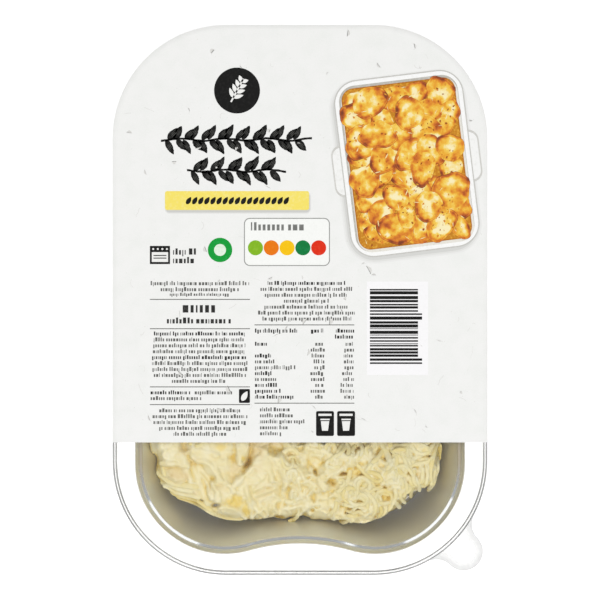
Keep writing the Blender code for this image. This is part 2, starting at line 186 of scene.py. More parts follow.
class Finish:
    """A finish in the making: a node material, its shader and what its patterns start from.

    places are metres in the part's frame, and shares are stored on the mesh, by name.
    """

    def __init__(self, name, *stored):
        self.material = bpy.data.materials.new(name)
        self.material.use_nodes = True
        self.nodes = self.material.node_tree.nodes
        self.shader = self.nodes["Principled BSDF"]
        self.places = self.add("TexCoord").outputs["Object"]
        self.shares = {share: self.add("Attribute", {"attribute_name": share}).outputs["Fac"]
                       for share in stored}

    def add(self, kind, settings=None, **inputs):
        """Add a node, set its own settings, and fill or link its inputs."""
        node = self.nodes.new("ShaderNode" + kind)
        for name, value in (settings or {}).items():
            setattr(node, name, value)
        fill(node, **inputs)
        return node

    def grain(self, size_mm, detail=2.0):
        """Noise whose grains are about a given size on the real object."""
        return self.add("TexNoise", _0=self.places, Scale=1 / (size_mm * MM), Detail=detail)

    def relief(self, height, strength, depth_mm):
        """Normals of a surface that rises and falls by a real depth."""
        return self.add("Bump", Strength=strength, Distance=depth_mm * MM, Height=height)

    def blend(self, factor, *stops):
        """Colours blended along a factor: stops are (place, hex colour) pairs."""
        ramp = self.add("ValToRGB", _0=factor)
        elements = ramp.color_ramp.elements
        while len(elements) < len(stops):
            elements.new(0.5)
        for element, (place, colour) in zip(elements, stops):
            element.position = place
            element.color = linear(colour)
        return ramp

    def coat(self, colour, *coats):
        """A colour with others laid over it in turn: coats are (share, colour) pairs."""
        for share, over in coats:
            colour = self.add("Mix", {"data_type": 'RGBA'}, _0=share, _6=colour, _7=over).outputs[2]
        return colour

    def show(self, surface):
        """Put another surface in the place of the shader's own."""
        fill(self.nodes["Material Output"], Surface=surface)
        return self.material

    def made_with(self, **inputs):
        """Fill the shader's inputs, and give the finished material."""
        fill(self.shader, **inputs)
        return self.material


def foil_material():
    """Rolled aluminium foil, smooth-wall pressed and clear lacquered.

    The inside is lacquered, the outside plain. Rolling leaves a faint grain along the tray, drawn
    here at 0.4 mm so that it shows. The drawn wall is duller than the flange and the ledge, which
    the press polishes where it bends the foil most, round the tray's ends.
    """
    foil = Finish("foil aluminium, smooth pressed, clear lacquer", "inside", "rolled")
    apart = foil.add("SeparateXYZ", _0=foil.places).outputs
    height = apart["Z"]
    from_middle = foil.add("Math", {"operation": 'ABSOLUTE'}, _0=apart["Y"])
    end = foil.add("MapRange", _0=from_middle, _1=POLISHED_ENDS[0], _2=POLISHED_ENDS[1])
    ledge = TRAY_HEIGHT - 0.5 * (LEDGE_EDGE[1] + UPPER_WALL_FOOT[1])
    above_ledge = foil.add("Math", {"operation": 'SUBTRACT'}, _0=height, _1=ledge)
    away = foil.add("Math", {"operation": 'ABSOLUTE'}, _0=above_ledge)
    on_ledge = foil.add("MapRange", _0=away, _1=0.4 * MM, _2=0.6 * MM, _3=1.0, _4=0.0)
    on_flange = foil.add("MapRange", _0=height, _1=TRAY_HEIGHT - 0.5 * MM, _2=TRAY_HEIGHT - 0.2 * MM)
    on_wall = foil.add("MapRange", _0=height, _1=WALL + 0.4 * MM, _2=WALL + 1.2 * MM)

    ledge_end = foil.add("MapRange", _0=end, _3=DRAWN_WALL, _4=LEDGE_POLISH)
    outside = foil.add("MapRange", _0=on_flange, _3=DRAWN_WALL, _4=FLANGE_POLISH)
    inside = outside
    for polished in (foil.add("MapRange", _0=on_ledge, _3=DRAWN_WALL, _4=ledge_end),
                     foil.add("MapRange", _0=on_wall, _3=FOOT_POLISH, _4=DRAWN_WALL)):
        inside = foil.add("Math", {"operation": 'MINIMUM'}, _0=inside, _1=polished)
    even = foil.add("MapRange", _0=foil.shares["inside"], _3=outside, _4=inside)
    clouded = foil.add("Math", {"operation": 'MULTIPLY_ADD'}, _0=foil.grain(16, 3.0), _1=0.04, _2=even)

    # painted shade: the inside lacquer is coloured darker and bluer towards the floor
    up = foil.add("MapRange", _0=height, _1=WALL, _2=0.75 * TRAY_HEIGHT)
    # painted reflection: along the straight sides the ledge is coloured warmer and darker
    straight = foil.add("Math", {"operation": 'SUBTRACT', "use_clamp": True}, _0=on_ledge, _1=end)
    lacquered = foil.coat("#DEE3F6", (up, "#E9ECEF"), (straight, "#CFC4AD"))
    # painted highlight: the flange is coloured near white
    colour = foil.coat("#D0D0CF", (foil.shares["inside"], lacquered), (on_flange, "#FCFCFB"),
                       # painted shade: the rolled edge's two dark lines, darker towards the near end
                       (foil.shares["rolled"], "#2C2C2C"))

    drawn_out = foil.add("Mapping", _0=foil.places, Scale=(2500.0, 120.0, 400.0))
    rolling = foil.add("TexNoise", _0=drawn_out, Scale=1.0, Detail=2.0)
    return foil.made_with(Base_Color=colour, Metallic=0.75, Roughness=clouded,
                          Normal=foil.relief(rolling, 0.03, 0.02))


def film_material():
    """Clear polyester lidding film: what is under it shows, and the light above glints on it."""
    film = Finish("polyester lidding film, clear gloss")
    film.nodes.remove(film.shader)
    swell = film.relief(film.grain(22, 1.0), 0.1, 0.5)
    clear = film.add("BsdfTransparent", _0=FILM_PASSES)
    gloss = film.add("BsdfAnisotropic", _0="#FFFFFF", Roughness=0.08, Normal=swell)
    slant = film.add("LayerWeight", Blend=0.5, Normal=swell).outputs["Facing"]
    steep = film.add("Math", {"operation": 'POWER'}, _0=slant, _1=5.0)
    glint = film.add("Math", {"operation": 'MULTIPLY_ADD'}, _0=steep, _1=0.6, _2=0.017)
    return film.show(film.add("MixShader", _0=glint, _1=clear, _2=gloss))


def tab_material():
    """The same film where it is pressed into a peel tab, with painted shade: grey towards its free edge."""
    tab = Finish("polyester film, painted shade at the edge", "edge")
    painted_edge_shade = tab.add("MapRange", _0=tab.shares["edge"], _3=0.0, _4=0.63)
    clear = tab.add("BsdfTransparent", _0=FILM_PASSES)
    tab.made_with(Base_Color=tab.blend(tab.grain(3.0), (0.3, "#E0E0E0"), (0.7, "#E3E3E3")), Roughness=0.3)
    return tab.show(tab.add("MixShader", _0=painted_edge_shade, _1=clear, _2=tab.shader))


def label_material():
    """White-inked film with a matt varnish, printed to look like recycled paper.

    Clouds of 7 mm and a grain of 0.6 mm keep the off-white from looking flat.
    """
    label = Finish("matt varnished label, recycled paper look")
    fine = label.grain(0.6)
    tone = label.add("Math", {"operation": 'MULTIPLY_ADD'}, _0=fine, _1=0.8, _2=label.grain(7))
    return label.made_with(Base_Color=label.blend(tone, (0.65, "#F1F2EF"), (1.15, "#F5F5F3")),
                           Normal=label.relief(fine, 0.2, 0.06), Roughness=0.6, Specular_IOR_Level=0.3)


def ink_material(words):
    """Flexographic ink on the label: one colour, paler in specks where the ink lay thin."""
    name = "ink, " + words
    if name in bpy.data.materials:
        return bpy.data.materials[name]
    thick, thin = INKS[words]
    ink = Finish(name)
    return ink.made_with(Base_Color=ink.blend(ink.grain(1.0, 3.0), (0.36, thin), (0.5, thick)),
                         Roughness=0.6, Specular_IOR_Level=0.15)


def baked_print_material():
    """Print of baked potato slices: cream with golden patches, toasted brown towards the edges."""
    ink = Finish("ink, baked gratin slices", "edge", "tone")
    patches = ink.add("TexNoise", {"noise_dimensions": '4D'}, _0=ink.places, W=ink.shares["tone"],
                      Scale=1 / (4.4 * MM), Detail=6.0)
    cloud = ink.add("Math", {"operation": 'MULTIPLY_ADD'}, _0=patches, _1=2.3, _2=-0.86)
    toast = ink.add("Math", {"operation": 'MULTIPLY_ADD'}, _0=ink.shares["edge"], _1=0.6, _2=cloud)
    colour = ink.blend(toast, (0.02, "#FCEFBC"), (0.20, "#F7D25A"), (0.38, "#F0B12C"),
                       (0.54, "#E0851A"), (0.72, "#BE5A12"), (0.94, "#7E350B"))
    return ink.made_with(Base_Color=colour, Roughness=0.5, Specular_IOR_Level=0.3)


def sauce_material():
    """Thick cream sauce over boiled potato: moist, pale, and yellow where potato shows through.

    Light goes a few millimetres into it, so hollows glow yellow instead of going grey.
    Hollows are also painted a deeper yellow, as painted shade.
    """
    sauce = Finish("cream sauce on boiled potato", "yellow", "bare", "hollow", "golden", "painted_foil_glint")
    cloud = sauce.grain(4.5, 4.0)
    cream = sauce.blend(cloud, (0.3, "#EDDFA7"), (0.7, "#F3EAC5"))
    potato = sauce.blend(cloud, (0.3, "#E4CD93"), (0.7, "#EEDDAC"))
    yolk = sauce.blend(cloud, (0.3, "#EDCF62"), (0.7, "#F3DF8E"))
    # golden: creases and pits coloured darker, partly the potato's own colour and partly painted shade
    # painted glint: grey patches stand for foil glinting through gaps
    # painted shade: hollows are coloured a deeper yellow
    over = {"hollow": "#E6CB68", "bare": potato, "golden": "#D4B54C", "painted_foil_glint": "#C9CBCB", "yellow": yolk}
    colour = sauce.coat(cream, *((sauce.shares[name], coat) for name, coat in over.items()))
    return sauce.made_with(Base_Color=colour, Normal=sauce.relief(sauce.grain(1.2, 3.0), 0.3, 0.25),
                           Roughness=0.36, Subsurface_Weight=0.4,
                           Subsurface_Radius=(1.0, 0.95, 0.7), Subsurface_Scale=0.8 * MM)


def cheese_material():
    """Young cheese, grated: waxy, pale yellow, with sauce on it in places."""
    cheese = Finish("young cheese, grated, sauce on it", "tone", "hollow")
    cloud = cheese.grain(5)
    pale = cheese.blend(cloud, (0.35, "#EEE0A4"), (0.65, "#F2E9C1"))
    deep = cheese.blend(cloud, (0.35, "#E8D487"), (0.65, "#EDDE9F"))
    # painted shade: the strands' lower flanks and the hollows under them are coloured deeper yellow
    colour = cheese.coat(pale, (cheese.shares["tone"], deep), (cheese.shares["hollow"], "#E2C860"))
    return cheese.made_with(Base_Color=colour, Normal=cheese.relief(cheese.grain(0.9), 0.2, 0.2),
                            Roughness=0.48, Specular_IOR_Level=0.3, Subsurface_Weight=0.25,
                            Subsurface_Radius=(1.0, 0.95, 0.8), Subsurface_Scale=0.6 * MM)


def floor_material():
    """Seamless white paper under the pack, lit through a little so that it stays white."""
    paper = Finish("white paper floor")
    return paper.made_with(Base_Color=paper.blend(paper.grain(400), (0.3, "#FAFAFA"), (0.7, "#FCFCFC")),
                           Roughness=0.9, Specular_IOR_Level=0.0,
                           Emission_Color="#FFFFFF", Emission_Strength=0.45)


# Outlines and meshes


def arc(centre, radius, start, end, steps):
    """Points on an arc from one angle to another, both ends included."""
    turn = (end - start) / steps
    angles = [start + turn * i for i in range(steps + 1)]
    return [(centre[0] + radius * math.cos(a), centre[1] + radius * math.sin(a)) for a in angles]


def close_outline(quarter):
    """Mirror a quarter, from the middle of the +X side to the middle of the +Y end."""
    half = quarter + [(-x, y) for x, y in reversed(quarter[:-1])]
    return half[:-1] + [(-x, -y) for x, y in half[:-1]]


def rounded_outline(half_width, half_length, radius, side_steps, corner_steps, end_steps):
    """A rectangle with round corners, split evenly along its sides and ends."""
    centre = (half_width - radius, half_length - radius)
    side = [(half_width, centre[1] * i / side_steps) for i in range(side_steps)]
    corner = arc(centre, radius, 0.0, math.pi / 2, corner_steps)
    end = [(centre[0] * (1 - i / end_steps), half_length) for i in range(1, end_steps + 1)]
    return close_outline(side + corner + end)


def pack_outline(inset):
    """The pack's edge, moved inwards."""
    return rounded_outline(PACK_WIDTH / 2 - inset, PACK_LENGTH / 2 - inset,
                           PACK_CORNER - inset, 1, CORNER_STEPS, END_STEPS)


def wave_radius():
    """Radius of the end wave, which touches both corner arcs and passes the waist."""
    rise = WAIST_Y - CORNER_Y
    return (CORNER_X ** 2 + rise ** 2 - CORNER_RADIUS ** 2) / (2 * (CORNER_RADIUS - rise))


def wave_start():
    """Angle, about a corner arc's centre, where the corner arc gives way to the end wave."""
    return math.atan2(WAIST_Y + wave_radius() - CORNER_Y, -CORNER_X)


def opening_outline(inset):
    """The tray's opening edge, moved inwards: corner arcs joined by the wave of each end."""
    radius, touch = wave_radius(), wave_start()
    corner = arc((CORNER_X, CORNER_Y), CORNER_RADIUS - inset, 0.0, touch, CORNER_STEPS)
    wave = arc((0.0, WAIST_Y + radius), radius + inset, touch - math.pi, -math.pi / 2, END_STEPS)
    side = [(CORNER_X + CORNER_RADIUS - inset, 0.0)]
    return close_outline(side + corner + wave[1:])


def round_corner(before, corner, after, radius, steps):
    """Points of the arc that rounds one corner of a section."""
    before, corner, after = Vector(before), Vector(corner), Vector(after)
    to_before, to_after = (before - corner).normalized(), (after - corner).normalized()
    half_angle = to_before.angle(to_after) / 2
    start = corner + to_before * (radius / math.tan(half_angle))
    middle = corner + (to_before + to_after).normalized() * (radius / math.sin(half_angle))
    side = 1 if to_before.x * to_after.y - to_before.y * to_after.x < 0 else -1
    sweep = side * (math.pi - 2 * half_angle)
    return [tuple(middle + Matrix.Rotation(sweep * i / steps, 2) @ (start - middle))
            for i in range(steps + 1)]


def wall_section():
    """The tray's inner face from the flange edge to the floor, as inset and height."""
    edge = (EDGE_RADIUS * 0.45, TRAY_HEIGHT)
    upper_foot, ledge = ((inset, TRAY_HEIGHT - depth) for inset, depth in (UPPER_WALL_FOOT, LEDGE_EDGE))
    foot = (WALL_FOOT_INSET, WALL)
    flange = (edge[0] - BEAD_NECK, TRAY_HEIGHT)
    floor = (foot[0] + 2 * FOOT_RADIUS, WALL)
    return (round_corner(flange, edge, upper_foot, EDGE_RADIUS, 5)
            + round_corner(edge, upper_foot, ledge, LEDGE_RADIUS, 4)
            + round_corner(upper_foot, ledge, foot, LEDGE_RADIUS, 4)
            + round_corner(ledge, foot, floor, FOOT_RADIUS, 8))


def offset_section(section, distance):
    """Move a section to its outer side, by the mean normal at each point, level at its ends."""
    moved = []
    for i, point in enumerate(section):
        along = Vector((1.0, 0.0))
        if 0 < i < len(section) - 1:
            along = (Vector(section[i + 1]) - Vector(section[i - 1])).normalized()
        moved.append((point[0] + along.y * distance, point[1] - along.x * distance))
    return moved


def add_ring(work, outline, height):
    return [work.verts.new((x, y, height)) for x, y in outline]


def bridge(work, rings, closed=True):
    """Join rings of equal count with quads."""
    for lower, upper in zip(rings, rings[1:]):
        count = len(lower)
        for i in range(count if closed else count - 1):
            j = (i + 1) % count
            work.faces.new((lower[i], lower[j], upper[j], upper[i]))


def smooth(mesh, angle):
    """Shade a mesh smooth but for its edges over an angle in degrees, if one is given."""
    if angle:
        mesh.shade_smooth()
        mesh.set_sharp_from_angle(angle=math.radians(angle))


def place_piece(name, mesh, materials, smooth_angle=None):
    """Put a mesh in the scene as one piece."""
    for material in materials:
        mesh.materials.append(material)
    smooth(mesh, smooth_angle)
    piece = bpy.data.objects.new(name, mesh)
    bpy.context.scene.collection.objects.link(piece)
    return piece


def make_piece(name, work, materials, smooth_angle=None, recalculate=True):
    """Turn a bmesh into a piece."""
    if recalculate:
        bmesh.ops.recalc_face_normals(work, faces=work.faces)
    mesh = bpy.data.meshes.new(name)
    work.to_mesh(mesh)
    work.free()
    return place_piece(name, mesh, materials, smooth_angle)


def settle(piece, smooth_angle=None):
    """Keep a piece's mesh as its modifiers shape it."""
    mesh = bpy.data.meshes.new_from_object(piece.evaluated_get(bpy.context.evaluated_depsgraph_get()))
    piece.modifiers.clear()
    piece.data = mesh
    smooth(mesh, smooth_angle)
    return mesh


def thicken(piece, thickness, smooth_angle=None):
    """Give a sheet its thickness, below its face."""
    piece.modifiers.new("thickness", 'SOLIDIFY').thickness = thickness
    settle(piece, smooth_angle)


def ride_as(piece, slot, *nodes):
    """Let a piece ride on the part, in the place of any nodes named. The slot is not used."""
    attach(piece, "root")
    if nodes:
        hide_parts(*nodes)


def set_share(mesh, name, values):
    """Store a share from 0 to 1 at each vertex, for the material to read."""
    layer = mesh.attributes.new(name, 'FLOAT', 'POINT')
    layer.data.foreach_set("value", np.asarray(values, dtype=np.float32))


# Tray


def rolled_edge_painted_shade(inset, near):
    """How dark the rolled edge is painted, as painted shade: most on its two shoulders, and towards the
    near end.

    inset is the distance from the pack's edge, near how much the place faces the near end.
    """
    outer, inner = ROLL_SHOULDERS
    fade = 0.25 * MM if inset < outer else 0.8 * MM
    on_outer = 1 - abs(inset - outer) / fade
    on_inner = 1 - abs(inset - inner) / (0.4 * MM)
    return max(0.0, (0.3 + 0.7 * near) * on_outer, 0.9 * min(1.0, 1.3 * near) * on_inner)


def facing_near_end(x, y):
    """How much a place on the rim faces the near end, from 0 to 1."""
    ahead, beside = -y - NEAR_END[1], max(0.0, abs(x) - NEAR_END[0])
    return max(0.0, ahead) / math.hypot(beside, ahead)


def make_tray():
    """The foil: floor, wall with its ledge, flange, and the edge rolled under into a bead."""
    inner = wall_section()
    bead = arc((BEAD_RADIUS, TRAY_HEIGHT - BEAD_RADIUS), BEAD_RADIUS,
               math.radians(45), math.radians(315), BEAD_STEPS)
    course = [(opening_outline, inset, z) for inset, z in reversed(inner)]
    course += [(opening_outline, inner[0][0] - FLAT_EDGE, TRAY_HEIGHT),
               (pack_outline, BEAD_NECK + FLAT_EDGE, TRAY_HEIGHT), (pack_outline, BEAD_NECK, TRAY_HEIGHT)]
    first_of_bead = len(course)
    course += [(pack_outline, inset, z) for inset, z in bead]
    course.append((pack_outline, BEAD_NECK, TRAY_HEIGHT - WALL))
    course += [(opening_outline, inset, z) for inset, z in offset_section(inner, WALL)]
    work = bmesh.new()
    rings = [add_ring(work, outline(inset), z) for outline, inset, z in course]
    bridge(work, rings)
    work.faces.new(rings[0])
    work.faces.new(rings[-1])
    work.verts.index_update()
    rolled, inside = np.zeros((2, len(work.verts)))
    for ring in rings[:len(inner)]:
        inside[[corner.index for corner in ring]] = 1.0
    for ring, (inset, _) in zip(rings[first_of_bead:], bead):
        for corner in ring:
            rolled[corner.index] = rolled_edge_painted_shade(inset, facing_near_end(corner.co.x, corner.co.y))
    tray = make_piece("foil_tray", work, [foil_material()], 30)
    set_share(tray.data, "rolled", rolled)
    set_share(tray.data, "inside", inside)
    ride_as(tray, "tray", "tray")


# Lid film and label


def droop(inset):
    """How far the lid has bent down at a distance from the pack's edge."""
    share = max(0.0, 1 - inset / DROOP_BAND)
    return DROOP * share * share


def make_sheet(name, outline, height, thickness, material, node, closed=True):
    """A thin sheet over the pack that bends down over the bead all along its edge."""
    insets = [DROOP_BAND * i / DROOP_STEPS for i in range(DROOP_STEPS + 1)] + [DROOP_BAND + FLAT_EDGE]
    work = bmesh.new()
    rings = [add_ring(work, outline(inset), height - droop(inset)) for inset in insets]
    bridge(work, rings, closed)
    work.faces.new(rings[-1])
    sheet = make_piece(name, work, [material])
    thicken(sheet, thickness, 60)
    ride_as(sheet, node, node)


def tab_spread():
    """Angle from the tab's middle to the middle of the fillet at its root."""
    between = TAB_RADIUS + TAB_FILLET
    return math.acos((TAB_ROOT ** 2 + TAB_TIP ** 2 - between ** 2) / (2 * TAB_ROOT * TAB_TIP))


def tab_reach(angle):
    """Distance of the tab's free edge from the pack's corner centre, at an angle off its middle."""
    angle = abs(angle)
    if angle < 0.99 * math.asin(TAB_RADIUS / TAB_TIP):
        return TAB_TIP * math.cos(angle) + math.sqrt(TAB_RADIUS ** 2 - (TAB_TIP * math.sin(angle)) ** 2)
    off = tab_spread() - angle
    return TAB_ROOT * math.cos(off) - math.sqrt(max(0.0, TAB_FILLET ** 2 - (TAB_ROOT * math.sin(off)) ** 2))


def make_tab():
    """Peel tab at the (+X, -Y) corner, laid out in rows from the pack's edge to its free edge."""
    centre = Vector((PACK_WIDTH / 2 - PACK_CORNER, PACK_CORNER - PACK_LENGTH / 2))
    angles = [tab_spread() * (2 * i / TAB_COLUMNS - 1) for i in range(TAB_COLUMNS + 1)]
    free_edge = [(tab_reach(a) * math.cos(a), tab_reach(a) * math.sin(a)) for a in angles]
    work = bmesh.new()
    shares, rows = [], []
    for number in range(TAB_ROWS + 1):
        along = 1 - (1 - number / TAB_ROWS) ** 1.6
        row = []
        for angle in angles:
            reach = PACK_CORNER + (tab_reach(angle) - PACK_CORNER) * along
            place = Vector((reach * math.cos(angle), reach * math.sin(angle)))
            to_edge = min(math.hypot(place.x - x, place.y - y) for x, y in free_edge)
            # painted shade: the film greys towards the tab's free edge
            shares.append(max(0.0, 1 - to_edge / TAB_PAINTED_SHADE_EDGE) ** 1.5)
            x, y = Matrix.Rotation(math.radians(-45), 2) @ place + centre
            row.append(work.verts.new((x, y, FILM_HEIGHT - DROOP)))
        rows.append(row)
    bridge(work, rows, closed=False)
    tab = make_piece("peel_tab", work, [tab_material()])
    set_share(tab.data, "edge", shares)
    thicken(tab, FILM_THICKNESS, 60)
    ride_as(tab, "lid_film")


def label_arch(inset):
    """The label's edge from its lower left corner up round the far end to its lower right."""
    centre = (PACK_WIDTH / 2 - PACK_CORNER, PACK_LENGTH / 2 - PACK_CORNER)
    right = [(PACK_WIDTH / 2 - inset, LABEL_END_Y)]
    right += arc(centre, PACK_CORNER - inset, 0.0, math.pi / 2, CORNER_STEPS)
    return [(-x, y) for x, y in right] + right[::-1]


# Gratin: relief of its top


def vnoise(x, y, size, seed):
    """Smooth random field between -1 and 1, with patches of a given size."""
    table = np.random.default_rng(seed).uniform(-1.0, 1.0, (64, 64))
    u, v = np.asarray(x) / size + 31.7, np.asarray(y) / size + 17.3
    i, j = np.floor(u).astype(int), np.floor(v).astype(int)
    u, v = u - i, v - j
    u, v = u * u * (3 - 2 * u), v * v * (3 - 2 * v)
    corner = [[table[(i + a) % 64, (j + b) % 64] for b in (0, 1)] for a in (0, 1)]
    low, high = (near * (1 - v) + far * v for near, far in corner)
    return low * (1 - u) + high * u


def blurred(field, radius):
    """A field averaged over about a radius, in metres, by a bell-shaped kernel."""
    reach = max(1, int(2.5 * radius / RELIEF_CELL))
    steps = np.arange(-reach, reach + 1)
    weights = np.exp(-0.5 * (steps * RELIEF_CELL / radius) ** 2)
    weights /= weights.sum()
    for axis in (0, 1):
        padded = np.pad(field, [(reach, reach) if a == axis else (0, 0) for a in (0, 1)], 'edge')
        count = field.shape[axis]
        field = sum(w * np.take(padded, np.arange(k, k + count), axis) for k, w in enumerate(weights))
    return field


def depth_inside(x, y):
    """How far inside the opening's edge places are; below zero they are outside."""
    x, y = np.abs(x), np.abs(y)
    radius = wave_radius()
    side = CORNER_X + CORNER_RADIUS - x
    corner = CORNER_RADIUS - np.hypot(x - CORNER_X, y - CORNER_Y)
    wave = np.hypot(x, WAIST_Y + radius - y) - radius
    on_corner = np.arctan2(y - CORNER_Y, x - CORNER_X) <= wave_start()
    return np.where(y <= CORNER_Y, side, np.where(on_corner, corner, wave))


def wall_height(x, y):
    """Height of the foil under places."""
    ledge_height = TRAY_HEIGHT - LEDGE_EDGE[1]
    slope = (ledge_height - WALL) / (WALL_FOOT_INSET - LEDGE_EDGE[0])
    return np.maximum(WALL, ledge_height - (depth_inside(x, y) - LEDGE_EDGE[0]) * slope)


def smooth_route(points, step=0.6):
    """A smooth route through a few points, with a place about every step, all in mm."""
    first, last = ([2 * a - b for a, b in zip(end, inner)]
                   for end, inner in ((points[0], points[1]), (points[-1], points[-2])))
    knots = np.array([first, *points, last])
    route = []
    for a, b, c, d in zip(knots, knots[1:], knots[2:], knots[3:]):
        count = max(2, int(np.linalg.norm(c - b) / step))
        for t in np.arange(count) / count:
            route.append(0.5 * (2 * b + (c - a) * t + (2 * a - 5 * b + 4 * c - d) * t ** 2
                                + (3 * b - a - 3 * c + d) * t ** 3))
    route.append(knots[-2])
    return np.array(route)


# The heap's uneven edge in the clear end, from its left side round to its right, in mm
CLEAR_EDGE = (
    (-63, -55), (-63.4, -60), (-62.5, -63.6), (-60.5, -66.6), (-60.4, -72), (-58.8, -76.8), (-55.6, -79.2),
    (-52.8, -82.8), (-45.2, -85.2), (-37.9, -89.6), (-30.5, -92.2), (-21.7, -92.7), (-12.4, -91.7),
    (-6.5, -92.4), (1.1, -91.2), (7, -92.8), (16.5, -93), (26.1, -94), (34.1, -91.4), (38.9, -88.5),
    (43.6, -85.4), (46.4, -81.8), (50.2, -79.4), (54, -79), (57.6, -75.6), (58.8, -66.8), (58.7, -55),
)


def heap_outline():
    """The heap's edge all round, in metres: shaped in the clear end, plain under the label."""
    clear = smooth_route(CLEAR_EDGE, 0.9) * MM
    stray = MM * (0.45 * vnoise(clear[:, 0], clear[:, 1], 2.6 * MM, 61)
                  + 0.25 * vnoise(clear[:, 0], clear[:, 1], 1.2 * MM, 62))
    clear *= 1 + (stray / np.hypot(clear[:, 0], clear[:, 1]))[:, None]
    plain = rounded_outline(HEAP_HALF_WIDTH, HEAP_HALF_LENGTH, HEAP_CORNER, 12, 14, 8)
    hidden = [(HEAP_SHIFT_X + x, y) for x, y in plain if y > CLEAR_EDGE[0][1] * MM + 4 * MM]
    hidden.sort(key=lambda place: math.atan2(place[1] + 0.1, place[0] - HEAP_SHIFT_X))
    return [tuple(place) for place in clear] + hidden


def inside_heap(x, y):
    """How far inside the heap's edge places are; below zero they are outside."""
    outline = heap_outline()
    nearest = np.full(x.shape, 1.0)
    within = np.zeros(x.shape, bool)
    for (x0, y0), (x1, y1) in zip(outline, outline[1:] + outline[:1]):
        dx, dy = x1 - x0, y1 - y0
        along = np.clip(((x - x0) * dx + (y - y0) * dy) / (dx * dx + dy * dy), 0, 1)
        nearest = np.minimum(nearest, np.hypot(x - x0 - along * dx, y - y0 - along * dy))
        if dy:
            within ^= ((y0 > y) != (y1 > y)) & (x < x0 + (y - y0) * dx / dy)
    return np.where(within, nearest, -nearest)


